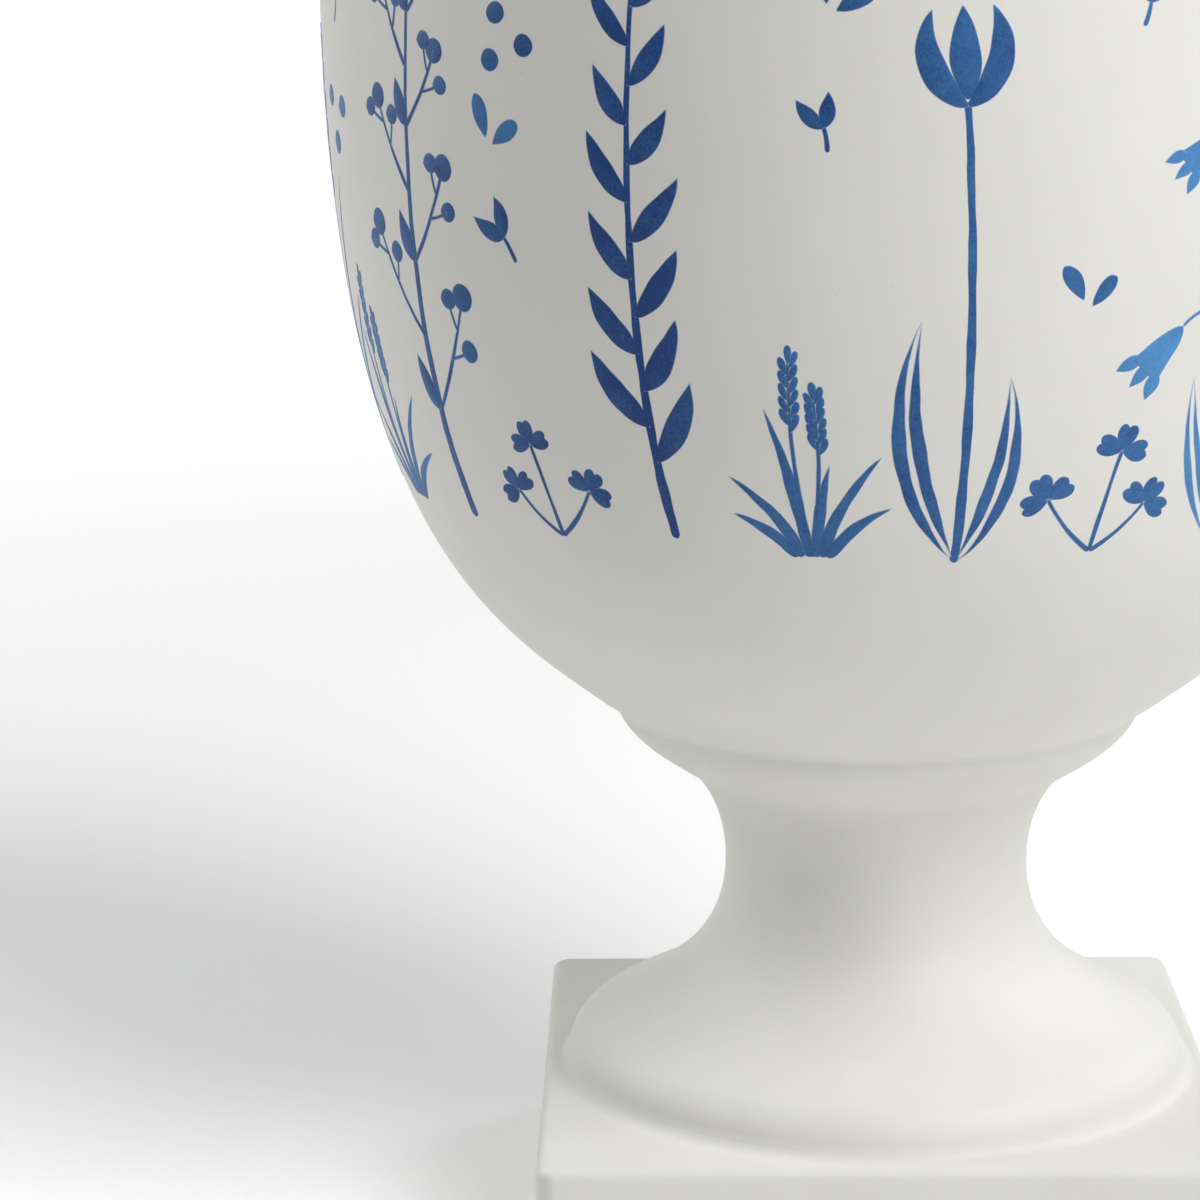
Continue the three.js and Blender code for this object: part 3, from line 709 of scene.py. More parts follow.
def make_plinth():
    """Rings of points from the inside of the base land out, up, over the deck and down again: square
    rings are (half - corner) anchor + corner normal, and round ones are radius times the columns'
    directions. Roundings move half and corner by 1 - cos a while the height moves by sin a."""
    anchor, normal = square_rays(30, 12)
    direction = PLINTH_HALF * anchor + PLINTH_CORNER * (normal - anchor)
    direction /= np.linalg.norm(direction, axis=1)[:, None]

    def square(half, corner, height):
        """A square ring with round corners."""
        outline = (half - corner) * anchor + corner * normal
        return np.column_stack([outline, np.full(len(outline), height)])

    def square_edge(half, corner, height, insets, rises):
        """The square rings of a rounded edge."""
        return [square(half - i, corner - i, height + r) for i, r in zip(insets, rises)]

    def circle(radius, height):
        """A round ring whose points lie in the same columns."""
        return np.column_stack([radius * direction, np.full(len(direction), height)])

    # The base land and the outer wall
    turn = np.radians(np.linspace(0, 90, 9))
    inset = PLINTH_EDGE * (1 - np.cos(turn))
    rise = PLINTH_EDGE * (1 - np.sin(turn))
    low = PLINTH_BOTTOM + PLINTH_EDGE + BESIDE
    high = PLINTH_TOP - PLINTH_EDGE - BESIDE
    rings = [square(RECESS_HALF + LAND_BESIDE, RECESS_CORNER + LAND_BESIDE, PLINTH_BOTTOM)]
    edge = PLINTH_HALF - PLINTH_EDGE
    rings += [square(edge - LAND_BESIDE, PLINTH_CORNER - PLINTH_EDGE, PLINTH_BOTTOM)]
    rings += square_edge(PLINTH_HALF, PLINTH_CORNER, PLINTH_BOTTOM, inset[::-1], rise[::-1])
    rings += [square(PLINTH_HALF, PLINTH_CORNER, z) for z in (low, high)]
    rings += square_edge(PLINTH_HALF, PLINTH_CORNER, PLINTH_TOP, inset, -rise)

    # The deck's top, the seat with its groove, the bolt's hole and the deck's underside
    fillet = foot_curve(PLINTH_TOP, SEAT_TOP - 0.015, 12, 2)
    rings += [square(edge - 0.1, PLINTH_CORNER - PLINTH_EDGE, PLINTH_TOP)]
    rings += [circle(fillet[0, 0] + 0.08, PLINTH_TOP)]
    rings += [circle(r, z) for r, z in fillet]
    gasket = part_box("foot_gasket")[1].x / MM
    groove_outer = gasket + GROOVE_CLEARANCE
    groove_inner = gasket - FOOT_GASKET_WIDTH - GROOVE_CLEARANCE
    seat = eased(
        [
            fillet[-1], (fillet[-1, 0] - 0.012, SEAT_TOP), (groove_outer, SEAT_TOP),
            (groove_outer, GROOVE_FLOOR), (groove_inner, GROOVE_FLOOR), (groove_inner, SEAT_TOP),
            (BOLT_HOLE, SEAT_TOP), (BOLT_HOLE, DECK_BOTTOM), (20, DECK_BOTTOM),
        ],
        [0, 0, 0.15, 0.1, 0.1, 0.15, 0.4, 0.4, 0], closed=False, steps=3,
    )
    rings += [circle(r, z) for r, z in supported(seat, closed=False)[1:]]

    # The recess, down to the base land
    inward = RECESS_FILLET * (1 - np.cos(turn[::-1]))
    drop = RECESS_FILLET * (1 - np.sin(turn[::-1]))
    within = RECESS_FILLET + 0.6
    rings += [square(RECESS_HALF - within, RECESS_CORNER - within, DECK_BOTTOM)]
    rings += square_edge(RECESS_HALF, RECESS_CORNER, DECK_BOTTOM, inward, -drop)
    rings += [
        square(RECESS_HALF, RECESS_CORNER, z)
        for z in (
            DECK_BOTTOM - RECESS_FILLET - BESIDE, PLINTH_BOTTOM + 2 * LAND_BESIDE,
            PLINTH_BOTTOM + LAND_BESIDE,
        )
    ]
    rings += [square(RECESS_HALF + LAND_BREAK, RECESS_CORNER + LAND_BREAK, PLINTH_BOTTOM + LAND_BREAK)]
    plinth = skin("porcelain_plinth", [np.array(rings)], [cast_bisque])
    stand_for(plinth, "porcelain", "plinth")


def make_bolt():
    """Dome-headed bolt, as a radius over angle and height. The thread is r = radius - depth times a
    flat-topped saw of (height / pitch - angle / 360), which fades out upwards and ends in a cone. The
    hexagon socket's rings have the radius half flats / cos(angle to the nearest flat's middle)."""
    a = angles(BOLT_SIDES)
    steps = int((THREAD_TOP - BOLT_END) / THREAD_PITCH * 9)
    rings = [ring(a, 0, BOLT_END), ring(a, BOLT_POINT, BOLT_END)]
    for z in np.linspace(BOLT_END + 0.02, THREAD_TOP, steps):
        phase = (z / THREAD_PITCH - a / (2 * np.pi)) % 1
        saw = np.clip(np.abs(2 * phase - 1) * 1.35 - 0.15, 0, 1)
        fade = min(1.0, (THREAD_TOP - z) / THREAD_FADE)
        point = BOLT_POINT + 0.2 + (z - BOLT_END) * 1.1
        crest = BOLT_RADIUS - THREAD_CLEARANCE / 2
        rings.append(ring(a, np.minimum(crest - THREAD_DEPTH * fade * saw, point), z))
    body = eased(
        [
            (BOLT_RADIUS, THREAD_TOP + 0.3), (BOLT_RADIUS, HEAD_BOTTOM), (HEAD_RADIUS, HEAD_BOTTOM),
            (HEAD_RADIUS, HEAD_BOTTOM + HEAD_EDGE),
        ],
        [0, 0.2, 0.25, 0], closed=False, steps=3,
    )
    dome = bezier(
        (HEAD_RADIUS, HEAD_BOTTOM + HEAD_EDGE), (HEAD_RADIUS, HEAD_BOTTOM * 0.4 + HEAD_TOP * 0.6),
        (HEAD_RADIUS * 0.75, HEAD_TOP), (HEAD_RADIUS * 0.45, HEAD_TOP), 14,
    )
    rings += [ring(a, r, z) for r, z in supported(np.vstack([body, dome[1:]]), closed=False)]
    sector = (a + np.pi / 6) % (np.pi / 3) - np.pi / 6
    hexagon = SOCKET_FLATS / 2 / np.cos(sector)
    floor = HEAD_TOP - SOCKET_DEPTH
    rings += [ring(a, hexagon + 0.18, HEAD_TOP), ring(a, hexagon + 0.04, HEAD_TOP - 0.06)]
    rings += [ring(a, hexagon, HEAD_TOP - 0.2), ring(a, hexagon, floor)]
    rings += [ring(a, 0.2, floor - 0.6), ring(a, 0, floor - 0.6)]
    bolt = skin("steel_tie_bolt", [np.array(rings)], [steel], closed=False, smooth_to=32)
    stand_for(bolt, "steel", "tie_bolt")


def make_nut():
    """Hexagon nut. Its outer rings have the radius half flats / cos(angle to the nearest flat's middle),
    cut by a cone that starts at half the flats, and its bore opens in a chamfer at both ends."""
    a = angles(NUT_SIDES)
    sector = a % (np.pi / 3) - np.pi / 6
    hexagon = NUT_FLATS / 2 / np.cos(sector)
    slope = math.tan(math.radians(NUT_CHAMFER_ANGLE))

    bore = BOLT_RADIUS + THREAD_CLEARANCE
    start = NUT_FLATS / 2 - 0.25
    cone = (hexagon - start) * slope
    # The rings of one end, as radius and distance from that end. The other end mirrors them.
    end = [(bore, BORE_CHAMFER), (bore + BORE_CHAMFER, 0), (start, 0)]
    end += [(start + (hexagon - start) * t, cone * t) for t in (0.33, 0.66, 1.0)]
    end += [(hexagon, cone + 0.15)]
    rings = [ring(a, r, NUT_BOTTOM + d) for r, d in end]
    rings += [ring(a, r, NUT_TOP - d) for r, d in end[::-1]]
    nut = skin("steel_hex_nut", [np.array(rings)], [steel], smooth_to=22)
    stand_for(nut, "steel", "hex_nut")


def make_spring_washer():
    """A ring with a rectangular section of rounded corners, carried round from one side of a slanting
    slit to the other. The slit slants because the angle also grows with height."""
    section = eased(
        [
            (HOLE_INNER, SPRING_BOTTOM), (SPRING_OUTER, SPRING_BOTTOM),
            (SPRING_OUTER, SPRING_TOP), (HOLE_INNER, SPRING_TOP),
        ],
        0.25, steps=3,
    )
    middle = section.mean(0)
    section = np.vstack([section, section[:1]])
    half = SPRING_SLIT / 2 / SPRING_OUTER
    a = np.linspace(half, 2 * np.pi - half, 97)
    a = np.concatenate([a[:1], a, a[-1:]])
    shrink = np.ones(len(a))
    shrink[[0, -1]] = 0
    points = middle + (section[None] - middle) * shrink[:, None, None]
    angle = a[:, None] + (points[..., 1] - middle[1]) * SPRING_SLANT
    grid = ring(angle, points[..., 0], points[..., 1])
    washer = skin("steel_spring_washer", [grid], [steel], closed=False, around=False)
    stand_for(washer, "steel", "spring_washer")


def ring_piece(name, node, slot, made, corners, sizes):
    """A turned ring with eased corners."""
    piece = skin(name, [turned(supported(eased(corners, sizes)), RING_SIDES)], [made])
    stand_for(piece, slot, node)


def flat_ring(name, node, slot, made, inner, size):
    """A flat ring between its node's heights, out to its node's radius, with eased edges."""
    low, high = (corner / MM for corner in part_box(node))
    corners = [(inner, low.z), (high.x, low.z), (high.x, high.z), (inner, high.z)]
    ring_piece(name, node, slot, made, corners, size)


def make_fixings():
    """The flat rings, and the sleeved seal inside the bowl."""
    seat_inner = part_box("seat_gasket")[1].x / MM - SEAT_GASKET_WIDTH
    foot_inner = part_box("foot_gasket")[1].x / MM - FOOT_GASKET_WIDTH
    flat_ring("cork_seat_gasket", "seat_gasket", "cork", cork, seat_inner, 0.15)
    flat_ring("cork_foot_gasket", "foot_gasket", "cork", cork, foot_inner, 0.1)
    flat_ring("cork_clamp_pad", "clamp_pad", "cork", cork, BOLT_HOLE, 0.15)
    flat_ring("steel_clamp_plate", "clamp_plate", "steel", steel, HOLE_INNER, 0.4)
    sleeve_end = BOWL_FLOOR - SLEEVE_LENGTH
    seal_top = BOWL_FLOOR + SEAL_THICKNESS
    ring_piece(
        "rubber_bowl_seal", "bowl_seal", "rubber", rubber,
        [
            (HOLE_INNER, sleeve_end), (SLEEVE_RADIUS, sleeve_end), (SLEEVE_RADIUS, BOWL_FLOOR),
            (SEAL_RADIUS, BOWL_FLOOR), (SEAL_RADIUS, seal_top), (HOLE_INNER, seal_top),
        ],
        [0.2, 0.3, 0.05, 0.9, 0.9, 0.2],
    )


def make_bowl_washer():
    """Turned profile: a low rim, from which a Bezier curve falls inwards and up to the flat land under
    the bolt's head, then the hole and the flat underside."""
    low = BOWL_FLOOR + SEAL_THICKNESS
    rim = low + WASHER_RIM
    top = low + WASHER_THICKNESS
    pull = (WASHER_RADIUS - WASHER_LAND) / 3
    side = eased([(WASHER_RADIUS, low), (WASHER_RADIUS, rim)], [0.25, 0.1], closed=False)
    dome = bezier(
        (WASHER_RADIUS, rim), (WASHER_RADIUS - pull, low + 0.85 * WASHER_THICKNESS),
        (WASHER_LAND + pull, top), (WASHER_LAND, top), 12,
    )
    hole = eased(
        [(WASHER_LAND, top), (HOLE_INNER, top), (HOLE_INNER, low), (WASHER_RADIUS, low)],
        [0, 0.25, 0.25, 0], closed=False,
    )
    profile = np.vstack([side, dome[1:], hole])
    washer = skin("steel_bowl_washer", [turned(supported(profile), RING_SIDES)], [steel])
    stand_for(washer, "steel", "bowl_washer")


def make_felt_pads():
    """Felt discs under the corners: r = radius (1 + small waves of the angle), with a soft lower edge."""
    a = angles(PAD_SIDES)
    rng = np.random.default_rng(5)
    section = np.array(PAD_SECTION)
    out, up = section[:, :1], section[:, 1:]
    for number in range(1, 5):
        node = f"base_pad_{number}"
        low, high = (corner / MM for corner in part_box(node))
        centre = (low + high) / 2
        waves = sum(np.sin(a * k + rng.uniform(0, PHASE)) / math.sqrt(k) for k in (3, 7, 11, 17, 23, 31))
        grid = ring(a, PAD_SHRINK * out * (1 + (out > 4) * PAD_FRAY * waves), up)
        pad = skin(f"felt_pad_{number}", [grid + (centre.x, centre.y, low.z)], [felt], closed=False)
        stand_for(pad, "felt", node)


# The print is drawn flat, in millimetres: x to the right round the bowl, y up its surface.

noise = np.random.default_rng(11)


def stroke(start, direction, length, bend=0.0, steps=22):
    """A path that turns evenly: at share t of its length it heads direction + bend t degrees, and its
    points are the running sum of those headings. Steps are closer at both ends, t = (1 - cos pi u) / 2."""
    t = (1 - np.cos(np.linspace(0, np.pi, steps + 1))) / 2
    angle = np.radians(direction + bend * (t[1:] + t[:-1]) / 2)
    step = np.stack([np.cos(angle), np.sin(angle)], 1) * np.diff(t)[:, None] * length
    path = np.asarray(start, float) + np.vstack([[0, 0], np.cumsum(step, 0)])
    return {"path": path, "t": t, "length": length, "direction": direction, "bend": bend}


def spot(line, share):
    """The point at a share of a path's length, and the direction there."""
    x, y = (np.interp(share, line["t"], line["path"][:, i]) for i in (0, 1))
    return np.array([x, y]), line["direction"] + line["bend"] * share


def stem(line, thick, thin, tone):
    """A line that thins evenly and has round ends: width sqrt(1 - (1 - d / width)^2) at distance d from
    its nearer end."""
    t, length = line["t"], line["length"]
    width = thick + (thin - thick) * t
    near = np.minimum(t, 1 - t) * length
    return shape(line, width * np.sqrt(1 - (1 - np.clip(near / width, 0, 1)) ** 2), tone)


def leaf(line, width, tone, fullness=0.85, belly=0.8):
    """A pointed leaf: width sin(pi t^belly)^fullness, so its widest place lies below the middle."""
    return shape(line, width * np.sin(np.pi * line["t"] ** belly) ** fullness, tone)


def drop(line, width, tone):
    """A round-ended drop, widest towards its far end: width 2 sqrt(u (1 - u)) with u = t^1.5."""
    u = line["t"] ** 1.5
    return shape(line, width * 2 * np.sqrt(u * (1 - u)), tone)


def disc(centre, radius, tone):
    """A round dot: width 2 radius sqrt(t (1 - t)) along its own diameter."""
    line = stroke(np.asarray(centre, float) - (radius, 0), 0, 2 * radius, steps=16)
    return shape(line, 2 * radius * np.sqrt(line["t"] * (1 - line["t"])), tone)


def shape(line, width, tone):
    """A filled shape: a path, its half widths to the left and right with the slight waver of a cut
    edge, and its tone from 0, deep, to 1, pale, which drifts along it."""
    t = line["t"] * line["length"]
    limit = 0.1 * np.minimum(width, 1)
    waver = [
        limit * np.sin(t * noise.uniform(0.3, 0.6) + noise.uniform(0, PHASE))
        + 0.4 * limit * np.sin(t * noise.uniform(0.9, 1.5) + noise.uniform(0, PHASE))
        for side in range(2)
    ]
    drift = tone + noise.uniform(-0.03, 0.03) + noise.uniform(-0.08, 0.08) * (line["t"] - 0.5)
    return {"path": line["path"], "left": width + waver[0], "right": width + waver[1], "tone": drift}


def parted_leaf(line, width, tone):
    """A pointed leaf in two halves. The bare midrib between them is 0.5 mm wide, or a third of the leaf
    where that is less."""
    across = leftward(line["path"])
    half = width * np.sin(np.pi * line["t"] ** 0.85) ** 0.85
    rib = np.minimum(0.25, half / 3)
    halves = []
    for side in (-1, 1):
        path = line["path"] + across * (side * (half + rib) / 2)[:, None]
        halves.append(shape({**line, "path": path}, (half - rib) / 2, tone))
    return halves


def willow(height, tone):
    """A leaning stem with narrow pointed leaves to either side in turn, and one at the tip."""
    main = stroke((0, 0), 97, height, -15, 60)
    shapes = [stem(main, 1.0, 0.4, tone)]
    count = int(height / 7)
    for i in range(count):
        share = 0.12 + 0.85 * i / count
        point, direction = spot(main, share)
        side = 1 if i % 2 else -1
        length = 16 - 7 * share + noise.uniform(-1, 1)
        line = stroke(point, direction + side * noise.uniform(44, 54), length, -side * 26, 26)
        shapes.append(leaf(line, 2.3 - 0.8 * share, tone))
    point, direction = spot(main, 0.985)
    shapes.append(leaf(stroke(point, direction, 10), 1.5, tone))
    return shapes


def tulip(height, tone):
    """One flower on a slim stem between two long leaves. The head is a middle petal between two that
    wrap round it, with bare porcelain between the three."""
    main = stroke((0, 0), 87, height, 7, 50)
    shapes = [stem(main, 0.95, 0.7, tone)]
    shapes += parted_leaf(stroke((-0.5, 1), 124, height * 0.56, -50, 50), 2.7, tone)
    shapes += parted_leaf(stroke((0.5, 0.5), 57, height * 0.44, 42, 44), 2.4, tone)
    top, direction = spot(main, 0.99)
    middle = stroke(top + heading(direction), direction, 14, 0, 30)
    shapes.append(leaf(middle, 2.5, tone, 0.7, 0.85))
    for side in (-1, 1):
        wrap = stroke(top, direction + side * 60, 17, -side * 86, 34)
        shapes.append(leaf(wrap, 2.2, tone, 0.75, 0.8))
    return shapes


def bellflower(height, tone):
    """An arching stem. Short stalks curl over from it, each with a bell and three points along its mouth.
    The bell's half width is 2.6 (1 - (1 - t)^3)^0.6 + 0.9 t^4: a round crown, then a slight flare."""
    main = stroke((0, 0), 80, height, 32, 56)
    shapes = [stem(main, 1.0, 0.45, tone)]
    shapes += parted_leaf(stroke((0, 0.5), 114, 40, -34, 40), 2.0, tone)
    shapes += parted_leaf(stroke((0, 0.5), 56, 30, 30, 36), 1.8, tone)
    for i, share in enumerate((0.36, 0.5, 0.63, 0.75, 0.86, 0.96)):
        point, direction = spot(main, share)
        side = 1 if i % 2 else -1
        size = 1.12 - 0.45 * share
        stalk = stroke(point, direction + side * 52, 12 * size, side * 88, 20)
        shapes.append(stem(stalk, 0.5, 0.4, tone))
        end, hanging = spot(stalk, 1)
        bell = stroke(end, hanging, 9.5 * size, 0, 22)
        t = bell["t"]
        width = size * (2.6 * (1 - (1 - t) ** 3) ** 0.6 + 0.9 * t**4)
        shapes.append(shape(bell, width * np.sqrt(np.clip((1 - t) * 40, 0, 1)), tone))
        mouth = spot(bell, 0.86)[0]
        for lean, step in ((-22, -2.2), (0, 0), (22, 2.2)):
            root = mouth + heading(hanging + 90) * step * size
            point = stroke(root, hanging + lean, 4.8 * size, 0, 14)
            shapes.append(leaf(point, 1.35 * size, tone, 0.8, 0.7))
    return shapes


def berries(height, tone):
    """A forked branch whose side twigs each end in a few round berries, with a small leaf at a fork."""
    main = stroke((0, 0), 94, height, -11, 56)
    shapes = [stem(main, 1.15, 0.45, tone)]
    for i, share in enumerate((0.2, 0.33, 0.46, 0.58, 0.69, 0.79, 0.88)):
        point, direction = spot(main, share)
        side = 1 if i % 2 else -1
        length = 27 - 17 * share
        twig = stroke(point, direction + side * 42, length, -side * 20, 26)
        shapes.append(stem(twig, 0.6, 0.42, tone))
        for spur, out in ((0.5, -1), (0.74, 1)):
            root, along = spot(twig, spur)
            small = stroke(root, along + out * 48, 5.2, -out * 15, 12)
            shapes.append(stem(small, 0.42, 0.38, tone))
            shapes.append(disc(spot(small, 1)[0], 2.05 - 0.5 * share, tone + 0.1))
        shapes.append(disc(spot(twig, 1)[0], 2.6 - 0.7 * share, tone))
        if i % 2 == 0:
            line = stroke(point, direction - side * 34, 11 - 4 * share, side * 22)
            shapes.append(leaf(line, 1.9, tone))
    shapes.append(disc(spot(main, 1)[0], 1.9, tone))
    return shapes


def round_leaves(height, tone):
    """An upright stem with pairs of nearly round leaves on short stalks, smaller towards the tip."""
    main = stroke((0, 0), 86, height, 9, 50)
    shapes = [stem(main, 1.0, 0.4, tone)]
    count = int(height / 11.5)
    for i in range(count):
        share = 0.12 + 0.85 * i / count
        point, direction = spot(main, share)
        size = 4.9 - 2.6 * share
        for side in (-1, 1):
            stalk = stroke(point, direction + side * 62, size * 1.15, -side * 16, 12)
            shapes.append(stem(stalk, 0.45, 0.4, tone))
            root, along = spot(stalk, 0.85)
            line = stroke(root, along, size * 1.9, -side * 8, 20)
            width = size * 2 * np.sqrt(line["t"] * (1 - line["t"])) * (1.04 - 0.2 * line["t"])
            shapes.append(shape(line, width * 0.92, tone + 0.05))
    root, along = spot(main, 0.97)
    shapes.append(drop(stroke(root, along, 6.5, 0, 18), 2.1, tone))
    return shapes


def grass(height, tone):
    """A tuft of bent blades, closer together where it is tall, and two taller stalks with seeds along
    their upper third."""
    shapes = []
    seed = 2.2 + 0.035 * height
    spread = min(1, 45 / height)
    for lean, length, bend, foot in (
        (112, 0.55, 34, -1.6), (76, 0.62, -30, 1.4), (98, 0.8, 12, -0.5), (58, 0.42, -34, 2.2),
        (128, 0.38, 30, -2.4), (88, 0.5, -14, 0.6),
    ):
        blade = stroke((foot, 0), 90 + spread * (lean - 90), height * length, spread * bend, 34)
        shapes.append(leaf(blade, 1.15, tone, 0.55, 0.5))
    for lean, length, bend in ((101, 1.0, -12), (80, 0.82, 16)):
        stalk = stroke((0, 0), lean, height * length, bend, 44)
        shapes.append(stem(stalk, 0.6, 0.38, tone))
        for i in range(11):
            point, direction = spot(stalk, 0.66 + 0.031 * i)
            side = 1 if i % 2 else -1
            line = stroke(point, direction + side * 30, seed, -side * 14, 14)
            shapes.append(drop(line, 0.22 * seed, tone))
        point, direction = spot(stalk, 0.99)
        shapes.append(drop(stroke(point, direction, seed, 0, 14), 0.22 * seed, tone))
    return shapes


def clover(size, tone):
    """A low tuft of three stalks. Each ends in three leaflets, and a leaflet is two drops that part
    slightly, which leaves a notch at its tip."""
    shapes = []
    for lean, length, bend in ((148, 0.76, -26), (95, 1.16, 8), (38, 0.86, 22)):
        stalk = stroke((0, 0), lean, size * length, bend, 24)
        shapes.append(stem(stalk, 0.55, 0.42, tone))
        end, along = spot(stalk, 1)
        for turn in (-80, 0, 80):
            for lobe in (-17, 17):
                line = stroke(end, along + turn + lobe, size * 0.3, -lobe * 0.6, 18)
                shapes.append(drop(line, size * 0.085, tone))
    return shapes


def twin_leaf(size, tone, lean=0):
    """A loose sprig: two small leaves on a short stalk."""
    stalk = stroke((0, 0), 90 + lean, size * 0.5, 20, 12)
    end, direction = spot(stalk, 0.9)
    return [
        stem(stalk, 0.55, 0.45, tone),
        leaf(stroke(end, direction + 40, size * 0.75, -25, 16), size * 0.17, tone),
        leaf(stroke(end, direction - 36, size * 0.7, 25, 16), size * 0.17, tone),
    ]


def three_dots(size, tone, lean=0):
    """Three dots at the corners of a triangle."""
    return [disc(heading(lean + 120 * i) * size * 0.45, size * 0.2, tone) for i in range(3)]


def seed_pair(size, tone, lean=0):
    """Two drops that fall away from each other."""
    return [
        drop(stroke((-0.7, 0), 118 + lean, size * 0.72, 14, 16), size * 0.17, tone),
        drop(stroke((0.7, -1), 58 + lean, size * 0.66, -14, 16), size * 0.16, tone),
    ]


lower_wall, upper_wall = bowl_curves()
wall_profile = np.vstack([lower_wall, upper_wall[1:]])
wall_normal = -leftward(wall_profile)
wall_reach = reaches(wall_profile)


def laid_on_bowl(x, y, lift, angle, base):
    """A flat drawing laid on the bowl. Its point (x, y) goes base + y up the wall's own length and
    angle + x / radius round the axis, then lift out along the wall's normal."""
    radius, height, normal_r, normal_z = (
        np.interp(base + y, wall_reach, column) for column in (*wall_profile.T, *wall_normal.T)
    )
    turn = np.radians(angle) + x / radius
    out = radius + lift * normal_r
    return np.stack([out * np.sin(turn), -out * np.cos(turn), height + lift * normal_z], -1)


def print_sheet(drawn, layer, angle, base, side):
    """One shape as a thin lens on the bowl. Across it the points lie at the left rim, just inside it,
    on the middle line, just inside the right rim, at that rim, and under the middle. The rims dip into
    the porcelain, and both ends run out to a point. Also gives the tone and the distance from the rim."""
    path = drawn["path"] * (side, 1)
    across = leftward(path)
    left, right = drawn["left"], drawn["right"]
    rim_left = np.minimum(PRINT_RIM, 0.55 * left)
    rim_right = np.minimum(PRINT_RIM, 0.55 * right)
    zero = np.zeros_like(left)
    offset = np.stack([left, left - rim_left, zero, rim_right - right, -right, zero], 1)
    edge = np.stack([zero, rim_left, np.minimum(left, right), rim_right, zero, zero], 1)
    top = PRINT_LIFT + PRINT_LAYER * layer
    lift = np.tile([PRINT_DIP, top, top, top, PRINT_DIP, 2 * PRINT_DIP], (len(left), 1))
    offset[[0, -1]] = 0
    edge[[0, -1]] = 0
    lift[[0, -1]] = PRINT_DIP
    x = path[:, :1] + across[:, :1] * offset
    y = path[:, 1:] + across[:, 1:] * offset
    tone = np.tile(drawn["tone"][:, None], (1, 6))
    return laid_on_bowl(x, y, lift, angle, base), tone, edge


def print_piece(name, placed):
    """One mesh of the print: each placed drawing is (shapes, angle, base, side)."""
    sheets = [
        print_sheet(one, layer % 4, angle, base, side)
        for shapes, angle, base, side in placed
        for layer, one in enumerate(shapes)
    ]
    grids, tones, edges = zip(*sheets)
    piece = skin(
        name, grids, [cobalt], closed=False, smooth_to=60, attributes={"tone": tones, "edge": edges}
    )
    stand_for(piece, "porcelain")


def make_print():
    """Twelve tall plants stand 30 degrees apart round the bowl. Low plants stand between them, and
    small loose sprigs fill the field above those."""
    # Each is drawn with a height and a tone, and placed by its angle, its base and its side. The pale
    # tones of the bellflowers at 35 degrees and the round leaves at 65, on the right where the key lamp
    # falls, are partly the print's own tone and partly painted light.
    plants = (
        ("print_berries", berries, [(96, 0.16, -55, 58, 1), (108, 0.4, 185, 60, -1)]),
        (
            "print_willow", willow,
            [(112, 0.05, -25, 60, 1), (104, 0.35, 95, 59, -1), (118, 0.15, 215, 60, 1)],
        ),
        (
            "print_tulips", tulip,
            [(74, 0.24, 5, 57, 1), (83, 0.1, 155, 58, -1), (70, 0.45, 245, 58, 1)],
        ),
        ("print_bellflowers", bellflower, [(106, 0.75, 35, 58, -1), (98, 0.2, 125, 60, 1)]),
        ("print_round_leaves", round_leaves, [(100, 0.6, 65, 60, 1)]),
        ("print_grass", grass, [(92, 0.35, -85, 58, 1), (33, 0.3, -10, 58, 1)]),
    )
    for name, plant, places in plants:
        print_piece(name, [(plant(height, tone), *place) for height, tone, *place in places])
    low = []
    for i in range(12):
        angle = -40 + 30 * i
        # The short tuft of print_grass stands there.
        if angle == -10:
            continue
        if i % 2:
            low.append((grass(30 + 4 * (i % 3), 0.2 + 0.06 * (i % 4)), angle, 58, 1))
        else:
            low.append((clover(14 + 0.6 * (i % 3), 0.15 + 0.08 * (i % 4)), angle, 58, 1 - i % 4))
    print_piece("print_low_plants", low)
    loose = []
    kinds = (twin_leaf, three_dots, seed_pair)
    for i in range(12):
        for k, base in enumerate((103, 121, 142, 164, 185)):
            size = noise.uniform(7.5, 10.5)
            angle = -40 + 30 * i + noise.uniform(-4, 4)
            tone = noise.uniform(0.05, 0.5)
            lean = noise.uniform(-30, 30)
            sprig = kinds[(i + 2 * k) % 3](size, tone, lean)
            place = (angle, base + noise.uniform(-4, 4), 1)
            if (i, k) not in CROWDED:
                loose.append((sprig, *place))
    print_piece("print_loose_sprigs", loose)


make_bowl()
make_pedestal()
make_plinth()
make_bolt()
make_nut()
make_spring_washer()
make_fixings()
make_bowl_washer()
make_felt_pads()
make_print()


def white_seen_directly(tree):
    """1 for a ray from the camera, off a gloss or through something clear, and 0 for light that falls
    on the object."""
    rays = add(tree, "LightPath", {}).node.outputs
    seen = add(tree, "Math", {0: rays["Is Camera Ray"], 1: rays["Is Glossy Ray"]}, operation="MAXIMUM")
    return add(tree, "Math", {0: seen, 1: rays["Is Transmission Ray"]}, operation="MAXIMUM")


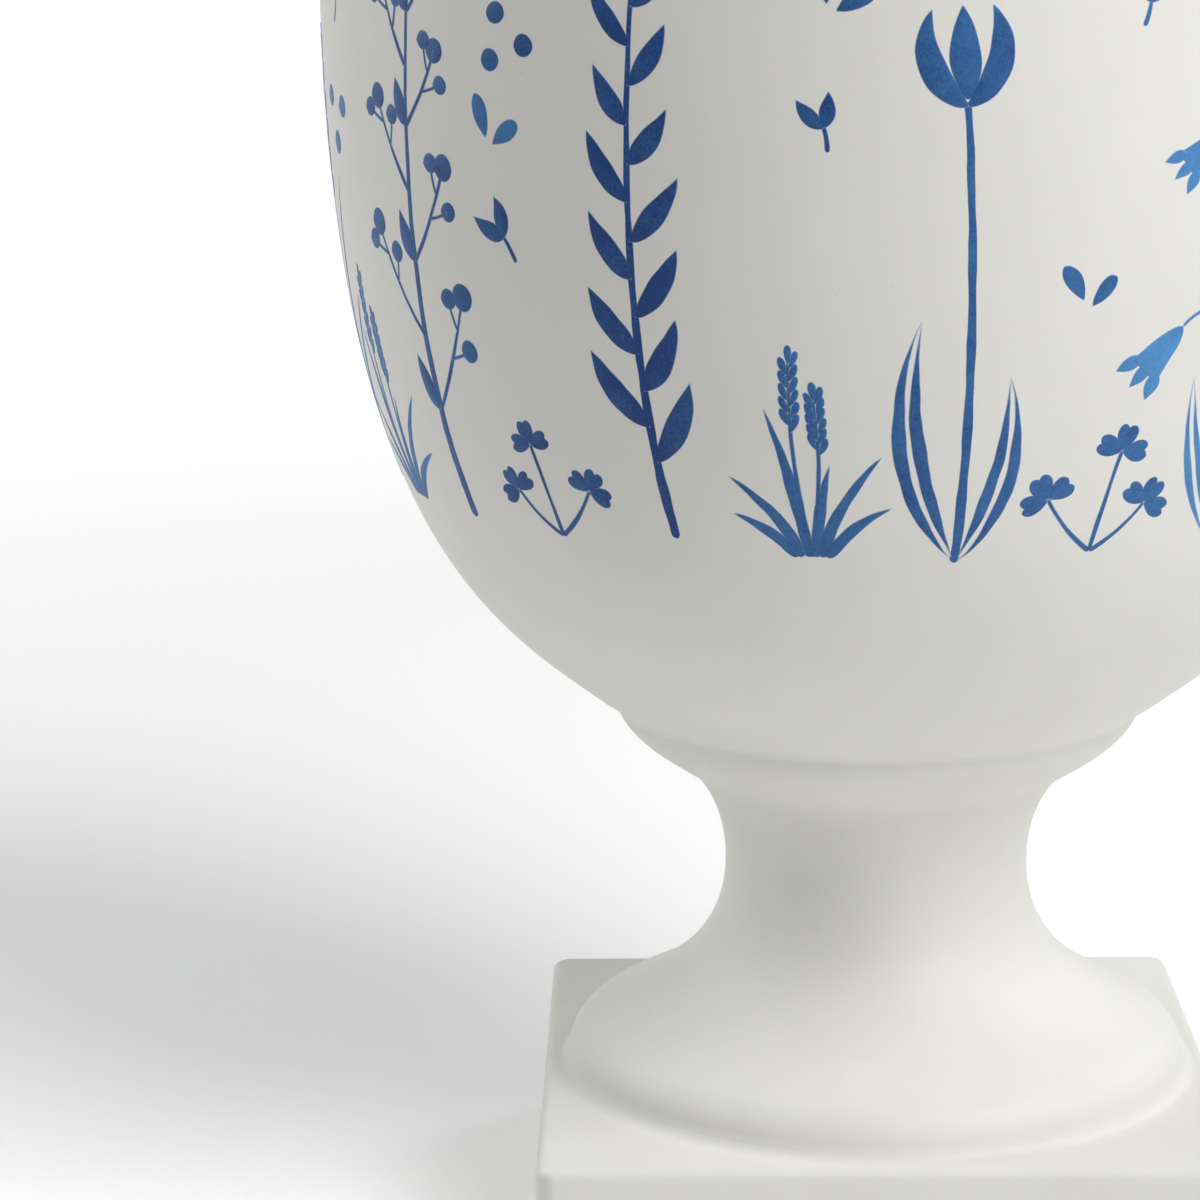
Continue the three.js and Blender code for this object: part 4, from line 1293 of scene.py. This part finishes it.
def make_floor():
    """A wide pale floor that takes the object's shadow and fades to plain white around it."""
    made, tree, place = blank("studio_floor")
    seen = white_seen_directly(tree)
    tone = add(tree, "MapRange", {"Value": seen, "To Min": FLOOR_TONE[0], "To Max": FLOOR_TONE[1]})
    near = add(tree, "BsdfDiffuse", {"Color": tone})
    out = add(tree, "VectorMath", {0: place}, "Value", operation="LENGTH")
    far = add(
        tree, "MapRange", {"Value": out, "From Min": FLOOR_FADE[0], "From Max": FLOOR_FADE[1]},
        interpolation_type="SMOOTHSTEP",
    )
    share = add(tree, "Math", {0: seen, 1: far}, operation="MULTIPLY")
    white = add(tree, "Emission", {"Color": WHITE, "Strength": 1})
    finished(made, tree, add(tree, "MixShader", {0: share, 1: near, 2: white}))
    side = np.linspace(-FLOOR_REACH, FLOOR_REACH, 9)
    x, y = np.meshgrid(side, side, indexing="ij")
    grid = np.stack([x, y, np.full_like(x, FLOOR_HEIGHT)], -1)
    floor = skin("floor", [grid], [made], closed=False, around=False)
    if floor.data.polygons[0].normal.z < 0:
        floor.data.flip_normals()


def make_sky():
    """A faint even sky for the object, and plain white where it is seen."""
    world = bpy.data.worlds.new("soft_sky")
    bpy.context.scene.world = world
    world.use_nodes = True
    tree = world.node_tree
    tree.nodes.clear()
    strength = add(tree, "MapRange", {"Value": white_seen_directly(tree), "To Min": SKY, "To Max": 1})
    add(tree, "OutputWorld", {"Surface": add(tree, "Background", {"Color": WHITE, "Strength": strength})})


def make_lamps():
    """A large soft key lamp to the right in front with a smaller one beside it, a weak wide lamp
    overhead, and three weak ones: one behind and two to the left."""
    for name, place, size, power, colour in LAMPS:
        lamp = bpy.data.lights.new(name, "AREA")
        lamp.shape = "DISK"
        lamp.size = size
        lamp.energy = power
        lamp.color = colour
        holder = bpy.data.objects.new(name, lamp)
        holder.location = place
        holder.rotation_mode = "QUATERNION"
        holder.rotation_quaternion = (LAMP_AIM - Vector(place)).to_track_quat("-Z", "Y")
        bpy.context.scene.collection.objects.link(holder)


def make_camera():
    """A long lens in front and a little above. It is turned about its own line of sight by the roll,
    down by the pitch, and then about the vertical by the yaw."""
    lens = bpy.data.cameras.new("camera")
    lens.lens = CAMERA_LENS
    lens.sensor_width = CAMERA_SENSOR
    camera = bpy.data.objects.new("camera", lens)
    bpy.context.scene.collection.objects.link(camera)
    camera.matrix_world = (
        Matrix.Translation(CAMERA_PLACE)
        @ Matrix.Rotation(-CAMERA_YAW, 4, "Z")
        @ Matrix.Rotation(math.pi / 2 - CAMERA_PITCH, 4, "X")
        @ Matrix.Rotation(CAMERA_ROLL, 4, "Z")
    )
    bpy.context.scene.camera = camera


make_floor()
make_sky()
make_lamps()
make_camera()
bpy.context.scene.view_settings.view_transform = "Standard"
